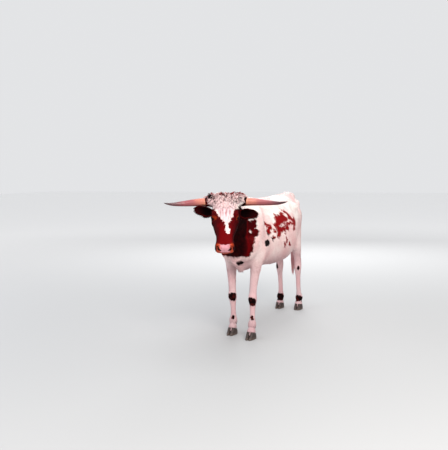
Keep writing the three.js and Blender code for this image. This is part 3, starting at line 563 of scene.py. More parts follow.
def put_points(piece: Piece, points: Array) -> None:
    """Move a mesh's vertices to points of the drawing frame.

    Args:
        piece: The mesh object.
        points: Where its vertices go.
    """
    placed = (points + SHIFT) * MM
    piece.data.vertices.foreach_set("co", placed.astype(np.float32).ravel())
    piece.data.update()


def edges_of(piece: Piece) -> Array:
    """Return a mesh's edges as pairs of vertex numbers.

    Args:
        piece: The mesh object.

    Returns:
        A row of two for each edge.
    """
    flat = np.empty(len(piece.data.edges) * 2, np.int32)
    piece.data.edges.foreach_get("vertices", flat)
    return flat.reshape(-1, 2)


def store(piece: Piece, name: str, values: Array) -> None:
    """Keep one number or one vector per vertex as a named attribute.

    Args:
        piece: The mesh object.
        name: The attribute's name.
        values: A number or a row for each vertex.
    """
    kind, key = ("FLOAT_VECTOR", "vector") if values.ndim > 1 else ("FLOAT", "value")
    layer = piece.data.attributes.new(name, kind, "POINT")
    layer.data.foreach_set(key, values.astype(np.float32).ravel())


def neighbour_mean(points: Array, edges: Array) -> Array:
    """Return the mean of each vertex's neighbours.

    Args:
        points: The vertices.
        edges: Pairs of vertex numbers.

    Returns:
        A row for each vertex.
    """
    count = np.bincount(edges.ravel(), minlength=len(points)).clip(1)
    both = np.concatenate([edges, edges[:, ::-1]])
    sums = [np.bincount(both[:, 0], points[both[:, 1], k], len(points)) for k in range(3)]
    return np.stack(sums, axis=1) / count[:, None]


def soften(piece: Piece, degrees: float | None = None) -> None:
    """Shade smooth, or smooth up to an angle.

    Args:
        piece: The mesh object.
        degrees: The steepest edge that is still smooth, or None for all.
    """
    select_only([piece])
    if degrees is None:
        bpy.ops.object.shade_smooth()
    else:
        bpy.ops.object.shade_smooth_by_angle(angle=math.radians(degrees))


def wrapped_grid(name: str, around: int, along: int, place: Callable) -> Piece:
    """Bend a grid primitive into a closed tube with closed ends.

    Args:
        name: The new object's name.
        around: Faces round the tube.
        along: Faces from one end to the other.
        place: Maps arrays (share round, share along) to drawing points.

    Returns:
        The tube, with its ends drawn together and its seam welded.
    """
    bpy.ops.mesh.primitive_grid_add(x_subdivisions=around, y_subdivisions=along, size=2)
    piece = bpy.context.object
    piece.name = piece.data.name = name
    share = (raw_points(piece)[:, :2] + 1) / 2
    put_points(piece, place(share[:, 0], share[:, 1]))
    store(piece, "share", np.column_stack([share, np.zeros(len(share))]))
    select_only([piece])
    bpy.ops.object.mode_set(mode="EDIT")
    bpy.ops.mesh.select_all(action="SELECT")
    bpy.ops.mesh.remove_doubles(threshold=1e-5)
    bpy.ops.mesh.normals_make_consistent(inside=False)
    bpy.ops.object.mode_set(mode="OBJECT")
    return piece


def finished(piece: Piece, material: Material, nodes: Sequence[str]) -> Piece:
    """Dress a piece and enter it in the frame.

    Args:
        piece: The mesh object.
        material: Its finish.
        nodes: The CAD nodes that it stands for.

    Returns:
        The same object.
    """
    piece.data.materials.clear()
    piece.data.materials.append(material)
    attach(piece, "root")
    if nodes:
        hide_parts(*nodes)
    return piece


# Finishes


def srgb(code: str) -> tuple[float, float, float, float]:
    """Return a hex colour in linear light, with full alpha.

    Args:
        code: The colour, such as #FFFFFF.

    Returns:
        Red, green, blue and alpha.
    """
    parts = [int(code[i : i + 2], 16) / 255 for i in (1, 3, 5)]
    linear = [c / 12.92 if c <= 0.04045 else ((c + 0.055) / 1.055) ** 2.4 for c in parts]
    return (*linear, 1.0)


def add_node(
    tree: Tree, kind: str, inputs: dict | None = None, settings: dict | None = None
) -> Node:
    """Add a node and fill it in.

    Args:
        tree: The node tree.
        kind: The node's type name.
        inputs: Values or output sockets, by input name or number.
        settings: The node's own properties.

    Returns:
        The new node.
    """
    node = tree.nodes.new(kind)
    for key, value in (settings or {}).items():
        setattr(node, key, value)
    for key, value in (inputs or {}).items():
        socket = node.inputs[key]
        if isinstance(value, Socket):
            tree.links.new(value, socket)
        else:
            socket.default_value = value
    return node


def new_finish(name: str, roughness: float, **uniform: float) -> tuple[Material, Tree, Node]:
    """Start a material from a principled shader.

    Args:
        name: The material's name.
        roughness: The shader's roughness.
        uniform: Further shader inputs, with underscores for spaces.

    Returns:
        The material, its node tree and its shader node.
    """
    material = bpy.data.materials.new(name)
    material.use_nodes = True
    shader = material.node_tree.nodes["Principled BSDF"]
    shader.inputs["Roughness"].default_value = roughness
    for key, value in uniform.items():
        shader.inputs[key.replace("_", " ")].default_value = value
    return material, material.node_tree, shader


def math_node(tree: Tree, operation: str, *values: float | Socket) -> Socket:
    """Return the result of a math node."""
    inputs = dict(enumerate(values))
    return add_node(tree, "ShaderNodeMath", inputs, {"operation": operation}).outputs[0]


def vector_node(tree: Tree, operation: str, *values: Sequence | Socket) -> Socket:
    """Return the vector that a vector math node gives, or its number for a dot or length.

    Args:
        tree: The node tree.
        operation: What it works out.
        values: What it works on: numbers, vectors or outputs.

    Returns:
        The node's output.
    """
    inputs = dict(enumerate(values))
    node = add_node(tree, "ShaderNodeVectorMath", inputs, {"operation": operation})
    return node.outputs["Value" if operation in ("DOT_PRODUCT", "LENGTH") else "Vector"]


def ramp(tree: Tree, value: Socket, low: float, high: float) -> Socket:
    """Return a soft step of a value, 0 at low and 1 at high.

    Args:
        tree: The node tree.
        value: The value's output.
        low: Where the step is 0.
        high: Where the step is 1.

    Returns:
        The step's output.
    """
    inputs = {"Value": value, "From Min": low, "From Max": high}
    settings = {"interpolation_type": "SMOOTHSTEP"}
    return add_node(tree, "ShaderNodeMapRange", inputs, settings).outputs["Result"]


def blend_colour(
    tree: Tree,
    factor: float | Socket,
    first: str | Socket,
    second: str | Socket,
    mode: str = "MIX",
) -> Socket:
    """Return a blend of two colours, each a hex code or a socket.

    Args:
        tree: The node tree.
        factor: The share of the second.
        first: The first colour.
        second: The second colour.
        mode: How they are blended.

    Returns:
        The blend's output.
    """
    a, b = (srgb(c) if isinstance(c, str) else c for c in (first, second))
    node = add_node(tree, "ShaderNodeMix", {}, {"data_type": "RGBA", "blend_type": mode})
    for index, value in ((0, factor), (6, a), (7, b)):
        if isinstance(value, Socket):
            tree.links.new(value, node.inputs[index])
        else:
            node.inputs[index].default_value = value
    return node.outputs[2]


def noise(
    tree: Tree,
    vector: Socket,
    size_mm: float,
    detail: float = 2.0,
    colour: bool = False,
) -> Socket:
    """Return noise whose blobs are about that many millimetres across."""
    inputs = {"Vector": vector, "Scale": 1000.0 / size_mm, "Detail": detail}
    return add_node(tree, "ShaderNodeTexNoise", inputs).outputs["Color" if colour else "Fac"]


def bumped(
    tree: Tree,
    shader: Node,
    height: Socket,
    depth_mm: float,
    strength: float = 1.0,
) -> None:
    """Press a height pattern into a shader's surface.

    Args:
        tree: The node tree.
        shader: The shader node.
        height: The pattern's output.
        depth_mm: How deep it goes.
        strength: How strongly it shows.
    """
    inputs = {"Strength": strength, "Distance": depth_mm * MM, "Height": height}
    node = add_node(tree, "ShaderNodeBump", inputs)
    tree.links.new(node.outputs["Normal"], shader.inputs["Normal"])


# The animal's soft shape

POLL = spot(17, -938, 1244)
HEAD_YAW = math.radians(24)
HEAD_PITCH = math.radians(49)
EYE_RADIUS = 19.0
LEG_X = 112.0
HOOF_TOP = 62.0
HOOF_SLOPE = 0.249
LEG_FILLET = 46.0


def head_axes() -> Axes:
    """Return the head's axes: down the face, out of the face, and to the animal's left.

    Returns:
        Axes from the poll.
    """
    cp, sp = math.cos(HEAD_PITCH), math.sin(HEAD_PITCH)
    cy, sy = math.cos(HEAD_YAW), math.sin(HEAD_YAW)
    return Axes(POLL, spot(cp * sy, -cp * cy, -sp), spot(sp * sy, -sp * cy, cp), spot(cy, sy, 0))


HEAD = head_axes()
HEAD_FORWARD = spot(math.sin(HEAD_YAW), -math.cos(HEAD_YAW), 0)


def on_head(down: float, across: float, out: float) -> Array:
    """Return a point by its place on the head."""
    return HEAD.point(down, across, out)


def half_body(points: Array) -> Array:
    """Move points to the animal's left half."""
    return np.column_stack([np.abs(points[:, 0]), points[:, 1:]])


def other_side(points: Array) -> Array:
    """Mirror points left to right."""
    return points * spot(-1, 1, 1)


def half_head(points: Array) -> Array:
    """Move points to the head's left half."""
    down, across, out = HEAD.local(points)
    return HEAD.point(down, np.abs(across), out)


def other_cheek(points: Array) -> Array:
    """Mirror points across the middle of the face."""
    down, across, out = HEAD.local(points)
    return HEAD.point(down, -across, out)


# at, top, bottom, widest, half, crest, keel
TORSO_STATIONS = (
    (742, 985, 840, 910, 44, 2, 2),
    (708, 1085, 748, 902, 106, 2, 2),
    (645, 1178, 668, 892, 152, 2, 2),
    (560, 1224, 622, 882, 172, 1.8, 2),
    (480, 1238, 612, 874, 184, 1.65, 2),
    (380, 1230, 608, 866, 206, 1.75, 2),
    (240, 1220, 600, 860, 236, 1.9, 2.1),
    (60, 1219, 584, 858, 256, 2, 2.15),
    (-110, 1225, 581, 862, 256, 2.05, 2.15),
    (-240, 1235, 606, 885, 232, 2, 2.1),
    (-350, 1246, 655, 930, 196, 1.85, 2),
    (-450, 1252, 715, 965, 170, 1.55, 2),
    (-550, 1253, 785, 990, 144, 1.4, 2),
    (-630, 1240, 850, 1005, 118, 1.45, 2),
    (-688, 1196, 912, 1015, 84, 1.7, 2),
    (-718, 1130, 970, 1030, 38, 2, 2),
)
# at, out, up, down, rise, crest, keel
HEAD_STATIONS = (
    (-46, 62, 16, 52, -8, 2, 2),
    (-30, 88, 34, 72, -6, 2, 2),
    (10, 98, 52, 98, 0, 2.4, 2),
    (60, 100, 66, 122, 0, 2.6, 2),
    (120, 103, 75, 136, 0, 2.8, 2),
    (180, 106, 78, 144, 0, 2.9, 1.8),
    (230, 97, 76, 136, 0, 2.7, 1.8),
    (285, 84, 71, 112, 0, 2.5, 1.9),
    (340, 75, 65, 90, 0, 2.4, 2),
    (395, 71, 57, 76, 0, 2.4, 2.2),
    (440, 74, 50, 66, 0, 2.5, 2.3),
    (475, 71, 38, 52, 0, 2.5, 2.3),
    (497, 54, 24, 34, 0, 2.4, 2.2),
    (508, 26, 8, 14, 0, 2, 2),
)
# height, out, back, out and in halves, front and back halves, crest, keel
FORE_STATIONS = (
    (830, 26, 40, 40, 40, 62, 60, 2, 2),
    (760, 24, 42, 50, 54, 76, 78, 2, 2),
    (700, 20, 38, 50, 52, 70, 74, 2, 2),
    (640, 14, 32, 46, 50, 58, 58, 2, 2),
    (560, 8, 20, 40, 44, 47, 46, 2, 2),
    (470, 2, 8, 34, 37, 38, 36, 2, 2),
    (410, 0, 3, 33, 35, 36, 33, 2, 2),
    (375, 0, 0, 37, 39, 38, 36, 2.4, 2),
    (340, 0, 0, 37, 39, 38, 39, 2.5, 2),
    (305, 0, 0, 30, 31, 29, 36, 2, 2),
    (255, 0, 0, 24, 25, 23, 31, 2, 2),
    (190, 0, -1, 24, 25, 23, 31, 2, 2),
    (150, 0, -2, 30, 30, 27, 36, 2.3, 2),
    (124, 0, -4, 33, 33, 29, 36, 2.3, 2),
    (98, 0, -12, 31, 31, 28, 31, 2, 2),
    (74, 0, -20, 38, 38, 39, 34, 2.2, 2),
    (52, 0, -25, 43, 43, 45, 38, 2.4, 2),
    (30, 0, -31, 44, 44, 48, 38, 2.4, 2),
)
HIND_STATIONS = (
    (1120, -40, -82, 34, 34, 60, 56, 2, 2),
    (1030, -36, -75, 54, 58, 118, 130, 2, 2),
    (940, -31, -64, 62, 74, 142, 158, 2, 2),
    (850, -26, -64, 61, 72, 150, 148, 2, 2),
    (770, -18, -68, 54, 62, 136, 126, 2, 2),
    (700, -10, -62, 48, 52, 108, 96, 2, 2),
    (640, -6, -42, 42, 45, 78, 62, 2, 2),
    (580, -6, -28, 37, 39, 54, 52, 2, 2),
    (530, -8, -14, 34, 36, 45, 62, 2, 1.8),
    (490, -9, -8, 37, 39, 45, 56, 2, 1.9),
    (450, -9, -8, 37, 38, 42, 46, 2, 2),
    (405, -9, -5, 30, 31, 33, 38, 2, 2),
    (350, -10, 2, 25, 25, 26, 34, 2, 2),
    (260, -11, 10, 23, 24, 23, 32, 2, 2),
    (190, -10, 17, 24, 25, 23, 33, 2, 2),
    (152, -8, 22, 31, 31, 27, 37, 2.3, 2),
    (124, -7, 22, 34, 34, 29, 36, 2.3, 2),
    (98, -7, 14, 32, 32, 28, 31, 2, 2),
    (74, -7, 7, 37, 37, 38, 34, 2.2, 2),
    (52, -7, 3, 42, 42, 44, 38, 2.4, 2),
    (30, -7, -3, 43, 43, 47, 38, 2.4, 2),
)
# out, back and height of each end, two radii and a fillet
FORE_BONES = (
    ((0, 30, 372), (0, 32, 345), 15, 14, 22),
    ((0, 24, 320), (0, 24, 170), 11, 11, 12),
    ((14, -6, 134), (15, -8, 122), 22, 22, 14),
    ((-14, -6, 134), (-15, -8, 122), 22, 22, 14),
    ((10, 108, 748), (12, 84, 690), 22, 26, 36),
)
HIND_BONES = (
    ((-8, 42, 538), (-8, 36, 484), 17, 20, 22),
    ((-8, 40, 545), (-2, 0, 690), 13, 22, 22),
    ((6, -186, 742), (2, -168, 690), 34, 30, 50),
    ((-9, -26, 466), (-9, -18, 432), 22, 20, 20),
    ((-9, 18, 400), (-10, 42, 170), 11, 11, 12),
    ((7, 20, 134), (8, 18, 122), 22, 22, 14),
    ((-21, 20, 134), (-22, 18, 122), 22, 22, 14),
)
TAIL_LINE = (
    spot(0, 640, 1224),
    spot(0, 688, 1224),
    spot(0, 728, 1196),
    spot(0, 748, 1120),
    spot(-2, 748, 1000),
    spot(-4, 738, 860),
    spot(-4, 728, 720),
    spot(-2, 726, 600),
)


def torso_shape() -> Blend:
    """Return the trunk: its stacked core with the masses of shoulder, loin and rump.

    Returns:
        The trunk.
    """
    core = Stack(
        level(0, 0, 0),
        [
            {"at": at, "out": half, "up": top - wide, "down": wide - low, "rise": wide,
             "crest": crest, "keel": keel}
            for at, top, low, wide, half, crest, keel in TORSO_STATIONS
        ],
    )
    parts = [
        (core, 1),
        (Limb(spot(78, -478, 1146), spot(136, -610, 940), 56, 66), 60),
        (Limb(spot(138, -668, 872), spot(132, -545, 745), 58, 62), 60),
        (Bulge(level(128, -500, 838), (118, 66, 130)), 55),
        (Bulge(level(82, -684, 800), (70, 82, 96)), 60),
        (Limb(spot(50, 190, 1186), spot(136, 345, 1128), 28, 32), 70),
        (Bulge(level(146, 350, 1118), (48, 34, 34)), 45),
        (Limb(spot(94, 400, 1040), spot(60, 630, 1030), 78, 62), 60),
        (Bulge(level(104, 490, 1000), (84, 52, 84)), 60),
        (Bulge(level(58, 684, 1136), (34, 32, 40)), 50),
        (Limb(spot(0, 520, 1232), spot(0, 668, 1212), 24, 27), 55),
        (Limb(spot(0, -440, 1212), spot(0, 560, 1231), 22, 20), 40),
        (Limb(spot(0, 40, 596), spot(0, 170, 600), 24, 30), 45),
        (Limb(spot(0, -712, 770), spot(0, -560, 655), 44, 42), 70),
    ]
    return Blend(parts, half_body, other_side)


def head_shape() -> Blend:
    """Return the head without its eyes, ears, horns and locks.

    Returns:
        The head.
    """
    core = Stack(
        HEAD,
        [
            {"at": at, "out": out, "up": up, "down": down, "rise": rise, "crest": crest,
             "keel": keel}
            for at, out, up, down, rise, crest, keel in HEAD_STATIONS
        ],
    )

    def bulge(down: float, across: float, out: float, radii: Sequence[float]) -> Bulge:
        """Return an ellipsoid at a place on the head."""
        return Bulge(HEAD.at(on_head(down, across, out)), radii)

    def limb(a: Sequence[float], b: Sequence[float], near: float, far: float) -> Limb:
        """Return a bone between two places on the head."""
        return Limb(on_head(*a), on_head(*b), near, far)

    parts = [
        (core, 1),
        (limb((140, 84, 52), (184, 92, 58), 20, 20), 30),
        (limb((168, 102, 12), (222, 96, 12), 14, 14), 26),
        (bulge(182, 66, -58, (80, 33, 70)), 40),
        (limb((166, 52, -116), (330, 40, -70), 26, 20), 40),
        (limb((230, 84, -2), (320, 60, 6), 16, 14), 30),
        (bulge(462, 46, 18, (30, 26, 24)), 26),
        (bulge(466, 48, -16, (36, 28, 24)), 24),
        (limb((94, 78, -32), (90, 104, -30), 42, 26), 40),
        (limb((-4, 0, 0), (-2, 164, 0), 45, 39), 40),
        (bulge(482, 0, 12, (22, 44, 26)), 20),
        (bulge(458, 0, -48, (32, 44, 20)), 24),
    ]
    return Blend(parts, half_head, other_cheek)


NECK_START = spot(0, -560, 1030)
NECK_END = spot(12, -905, 1136)
NECK_LENGTH = float(np.linalg.norm(NECK_END - NECK_START))


def neck_axes() -> Axes:
    """Return the neck's axes: towards the head, up, and to the animal's left.

    Returns:
        Axes from the neck's root.
    """
    along = unit(NECK_END - NECK_START)
    side = unit(np.cross(along, UP))
    if side[0] < 0:
        side = -side
    up = unit(UP - (UP @ along) * along)
    return Axes(NECK_START, along, up, side)


NECK = neck_axes()


def neck_shape() -> Stack:
    """Return the neck's stacked core.

    Returns:
        The neck.
    """
    rows = (
        (-160, 80, 110, 200, 2),
        (-60, 146, 185, 290, 2),
        (40, 152, 180, 275, 1.8),
        (130, 134, 160, 235, 1.8),
        (220, 112, 146, 190, 1.9),
        (300, 98, 140, 155, 2),
        (NECK_LENGTH, 90, 132, 128, 2),
        (NECK_LENGTH + 70, 66, 92, 84, 2),
        (NECK_LENGTH + 110, 30, 40, 40, 2),
    )
    return Stack(
        NECK,
        [{"at": a, "out": o, "up": u, "down": d, "crest": c} for a, o, u, d, c in rows],
    )


def dewlap_shape() -> Blend:
    """Return the fold of skin that hangs from throat to brisket.

    Returns:
        The dewlap.
    """
    line = (
        (spot(14, -902, 978), 12),
        (spot(10, -850, 905), 13),
        (spot(5, -800, 835), 14),
        (spot(2, -762, 762), 16),
        (spot(0, -718, 690), 20),
        (spot(0, -640, 622), 22),
    )
    return Blend([(Limb(a, b, ra, rb), 16) for (a, ra), (b, rb) in zip(line, line[1:])])


@dataclass(frozen=True)
class Leg:
    """One leg: where it stands, which stations shape it, and how far it steps."""

    name: str
    fore: bool
    side: int
    step: float

    @property
    def axes(self) -> Axes:
        """Return axes that rise from the ground, with up towards the front."""
        return Axes(spot(0, 0, 0), UP, FORWARD, LEFT * self.side)

    @property
    def stand(self) -> float:
        """Return how far back the leg stands."""
        return -595.0 if self.fore else 592.0

    def lean(self, height: float) -> float:
        """Return how far forward the leg's stride brings it at a height."""
        return self.step * (1 - float(smooth(height, 60, 720)))

    def place(self, out: float, back: float, height: float) -> Array:
        """Return a point by its place out, back and up on the leg."""
        return self.axes.point(height, LEG_X + out, -(self.stand + back) + self.lean(height))

    @property
    def foot(self) -> Array:
        """Return the middle of the foot, half way up the hoof."""
        return self.place(0, 0, 40)

    def shape(self) -> Blend:
        """Return the leg's flesh: its core with the bones and cords that show.

        Returns:
            The leg.
        """
        stations, bones = (
            (FORE_STATIONS, FORE_BONES) if self.fore else (HIND_STATIONS, HIND_BONES)
        )
        rows = [
            {"at": at, "out": o, "in": i, "up": u, "down": d, "crest": crest, "keel": keel,
             "sway": LEG_X + x, "rise": -(self.stand + y) + self.lean(at)}
            for at, x, y, o, i, u, d, crest, keel in stations
        ]
        core = Stack(self.axes, rows)
        core.centre = core.axes.point((core.first + core.last) / 2, LEG_X, -self.stand)
        core.radius = (core.last - core.first) / 2 + 200
        limbs = [
            (Limb(self.place(*a), self.place(*b), near, far), fillet)
            for a, b, near, far, fillet in bones
        ]
        return Blend([(core, 1), *limbs])


LEGS = (
    Leg("left_fore", True, 1, 38.0),
    Leg("right_fore", True, -1, -38.0),
    Leg("left_hind", False, 1, -6.0),
    Leg("right_hind", False, -1, 6.0),
)


def tail_stump() -> Blend:
    """Return the tail's first stretch, which the tail's own tube carries on from."""
    ends = ((TAIL_LINE[0], 26), (TAIL_LINE[1], 25), (TAIL_LINE[2], 22), (spot(0, 745, 1150), 18))
    return Blend([(Limb(a, b, ra, rb), 6) for (a, ra), (b, rb) in zip(ends, ends[1:])])


def whole_shape() -> Blend:
    """Return the whole animal's flesh.

    Returns:
        All the flesh, in one blend.
    """
    parts = [
        (torso_shape(), 1),
        (neck_shape(), 90),
        (dewlap_shape(), 60),
        (head_shape(), 46),
        *((leg.shape(), LEG_FILLET) for leg in LEGS),
        (tail_stump(), 10),
    ]
    return Blend(parts)


# Skin

# What lies ahead of this, along y, is only face, and the mouth's corner is so far down it
FACE_FRONT = -880.0
MOUTH_CORNER = 372.0


def mouth_line(down: Array, out: Array) -> Array:
    """Return how far out of the line between the lips each place on the head lies."""
    return out + 42 - 0.123 * (down - MOUTH_CORNER)


def nostril_wing(side: int) -> Array:
    """Return the middle of a nostril's swollen rim."""
    return on_head(478, 44 * side, 20)


def eye_axes(side: int) -> Axes:
    """Return an eye's axes: its look, the way across the lids, and along the slit.

    Args:
        side: 1 on the animal's left and -1 on its right.

    Returns:
        Axes from the middle of the eye's ball.
    """
    look = HEAD.direction(-0.1, 0.86 * side, 0.5)
    slit = HEAD.direction(1, 0.06 * side, 0.16)
    along = unit(slit - (slit @ look) * look)
    up = np.cross(along, look)
    if up @ HEAD.up < 0:
        up = -up
    return Axes(on_head(186, 96 * side, 38), look, up, along)


def nostril_axes(side: int) -> Axes:
    """Return a nostril's axes: out of it, up its slant, and across.

    Args:
        side: 1 on the animal's left and -1 on its right.

    Returns:
        Axes from the middle of the nostril.
    """
    out = HEAD.direction(0.62, 0.55 * side, 0.56)
    rise = HEAD.direction(-0.5, 0.62 * side, 0.6)
    slant = unit(rise - (rise @ out) * out)
    return Axes(on_head(484, 37 * side, 16), out, slant, np.cross(out, slant))


def nostril_share(points: Array, side: int) -> Array:
    """Return how far from a nostril's middle line each point lies: 1 at the hole's edge.

    Args:
        points: Points of the drawing frame.
        side: 1 on the animal's left and -1 on its right.

    Returns:
        A share for each point, 9 far away.
    """
    at, across, rise = nostril_axes(side).local(points)
    bend = across - side * 0.016 * (rise - 4) ** 2 + side * 3
    body = np.hypot(bend / 9.5, (rise + 3) / 17)
    slit = np.hypot((bend - side * 3) / 5.5, (rise - 14) / 14)
    return np.where(np.abs(at) < 44, melt(body, slit, 0.3), 9.0)


@dataclass
class Skin:
    """The hide: one closed mesh over trunk, neck, head and legs."""

    voxel: float = 0.011
    coat_torso: float = 3.0
    coat_leg: float = 2.0
    coat_head: float = 1.2
    rounds: int = 5
    flesh: Blend = field(default_factory=whole_shape)

    def depth(self, points: Array) -> Array:
        """Return how far the skin lies under the coat's surface at each point.

        Args:
            points: Points of the drawing frame.

        Returns:
            Millimetres.
        """
        down, _, _ = HEAD.local(points)
        leg = smooth(points[:, 2], 620, 420)
        head = smooth(down, -70, 20)
        deep = lerp(self.coat_torso, self.coat_leg, leg)
        return lerp(deep, self.coat_head, head * (points[:, 1] < -800))

    def relief(self, points: Array) -> Array:
        """Return the height of the finer forms: bones, folds and hollows.

        Args:
            points: Points near the surface.

        Returns:
            Millimetres to add to the surface at each point.
        """
        left = np.abs(points[:, 0])
        y, z = points[:, 1], points[:, 2]
        rise = np.zeros(len(points))
        # ribs, faint and slanting back as they go down
        rib = np.sin((y + 0.28 * (1000 - z)) * 2 * math.pi / 62)
        rise += 1.5 * rib * bell(y, -60, 190) * bell(z, 900, 120)
        # hollow in front of the hip bone, and the last rib's edge
        rise -= 13 * bell(y, 242, 58) * bell(z, 1098, 52) * smooth(left, 60, 120)
        rise -= 5 * bell(y, 250, 60) * bell(z, 980, 80) * smooth(left, 60, 120)
        # hollow between hip bone, hip joint and pin bone
        rise -= 8 * bell(y, 480, 60) * bell(z, 1095, 36) * smooth(left, 60, 100)
        # groove behind the shoulder blade and above the elbow
        rise -= 9 * bell(y + 0.35 * (z - 900), -400, 34) * bell(z, 930, 150)
        rise += 3 * bell(y + 0.3 * (z - 900), -530, 30) * bell(z, 1010, 90) * (left > 40)
        # groove down the back of the thigh, and the fold in front of the stifle
        rise -= 6 * bell(y, 640, 26) * bell(z, 860, 110) * smooth(left, 60, 110)
        fold = y - 330 - 0.45 * (z - 780)
        rise += 5 * bell(fold, 0, 26) * bell(z, 760, 70) * smooth(left, 60, 110)
        rise -= 5 * bell(fold, 48, 24) * bell(z, 790, 80) * smooth(left, 90, 130)
        # edge of the spine
        rise -= 2.5 * bell(left, 40, 14) * bell(y, 80, 330) * (z > 1150)
        rise += self.neck_relief(points) + self.head_relief(points)
        return rise

    def neck_relief(self, points: Array) -> Array:
        """Return the folds of the turned neck, the throat's cord and the dewlap's ripples.

        Args:
            points: Points of the drawing frame.

        Returns:
            Millimetres to add to the surface.
        """
        at, side, up = NECK.local(points)
        on_neck = smooth(at, 40, 130) * smooth(at, NECK_LENGTH + 30, NECK_LENGTH - 50)
        bend = at + 0.3 * up + 16 * np.sin(up / 47)
        crease = np.sin(bend * 2 * math.pi / 44)
        pinch = -1.5 * smooth(-crease, 0.3, 1.0) + 0.6 * crease
        near = smooth(side, 10, 60) * bell(up, -10, 110)
        away = 0.35 * smooth(-side, 10, 60) * bell(up, -40, 90)
        rise = on_neck * pinch * (near + away)
        throat = bell(up + 0.42 * at - 10, -96, 18) * on_neck
        rise -= 5 * throat * smooth(np.abs(side), 30, 70)
        y, z, x = points[:, 1], points[:, 2], np.abs(points[:, 0])
        ripple = np.sin((z * 0.8 - y * 0.6) * 2 * math.pi / 36 + 1.7 * np.sin(z / 61))
        lap = smooth(x, 44, 12) * smooth(y, -600, -660) * smooth(z, 1010, 960)
        rise += 0.9 * ripple * lap
        return rise

    def head_relief(self, points: Array) -> Array:
        """Return the face's finer forms: temples, cheeks, wrinkles and muzzle.

        Args:
            points: Points of the drawing frame.

        Returns:
            Millimetres to add to the surface.
        """
        down, across, out = HEAD.local(points)
        near = np.abs(across)
        face = (points[:, 1] < -830) * smooth(down, 20, 60)
        rise = np.zeros(len(points))
        # temple between eye and horn, and the forehead's dish
        rise -= 5 * bell(down, 96, 36) * bell(near, 92, 20) * smooth(out, 10, 40)
        rise -= 3 * bell(down, 165, 52) * bell(near, 0, 36) * smooth(out, 20, 50)
        # the orbit's rim above the eye, and the hollow under it
        rise += 4 * bell(down, 170, 24) * bell(near, 84, 13) * smooth(out, 40, 56)
        rise -= 3.5 * bell(down, 238, 30) * bell(near, 82, 18) * bell(out, 30, 26)
        # facial crest and the long muscles under it
        crest = out - 4 - 0.06 * (down - 240)
        rise += 2.6 * bell(crest, 0, 9) * bell(down, 290, 60) * smooth(near, 40, 60)
        rise -= 2.4 * bell(crest, -26, 13) * bell(down, 300, 60) * smooth(near, 40, 60)
        rise += 1.6 * bell(crest, -52, 12) * bell(down, 310, 56) * smooth(near, 30, 50)
        # vein down the cheek
        vein = down - 265 - 0.9 * (out + 20) - 7 * np.sin(out / 21)
        rise += 1.5 * bell(vein, 0, 4.2) * bell(out, -30, 34) * smooth(near, 40, 60)
        # jaw muscle's edge
        jaw = np.hypot(down - 178, out + 62)
        rise -= 3 * bell(jaw, 84, 9) * smooth(near, 50, 70) * smooth(out, -8, -30)
        # wrinkles round the nostril and lips
        fold = np.sin((down + 0.5 * out) * 2 * math.pi / 15 + 0.8 * np.sin(near / 9))
        rise += 0.8 * fold * bell(down, 412, 22) * smooth(out, -10, 16)
        # folds of the cheek behind the corner of the mouth
        corner = np.hypot(down - 372, out + 42)
        rise -= 2.4 * bell(corner, 16, 4.5) * smooth(down, 380, 366) * smooth(near, 26, 40)
        rise -= 1.8 * bell(corner, 29, 5) * smooth(down, 378, 360) * smooth(near, 26, 40)
        rise += self.eye_folds(points)
        return rise * face

    @staticmethod
    def eye_folds(points: Array) -> Array:
        """Return the wrinkles in arcs above and below each eye.

        Args:
            points: Points of the drawing frame.

        Returns:
            Millimetres to add to the surface.
        """
        rise = np.zeros(len(points))
        for side in SIDES.values():
            ahead, along, up = eye_axes(side).local(points)
            around = np.hypot(along * 0.82, up * 1.15)
            wave = np.cos((around - 31) * 2 * math.pi / 9)
            above = smooth(up, 2, 12) * bell(around, 36, 9)
            below = 0.7 * smooth(-up, 2, 12) * bell(around, 34, 8)
            rise += 1.25 * wave * (above + below) * (ahead > -20)
        return rise

    def distance(self, points: Array) -> Array:
        """Return each point's distance from the skin, with eyes, nostrils and mouth opened.

        Args:
            points: Points of the drawing frame.

        Returns:
            Millimetres, negative inside.
        """
        d = self.flesh.distance(points) + self.depth(points) - self.relief(points)
        d = d + self.sunk(points) * (points[:, 2] < 110)
        face = np.linalg.norm(points - on_head(330, 0, 0), axis=1) < 330
        if face.any():
            d[face] = self.openings(points[face], d[face])
        return d

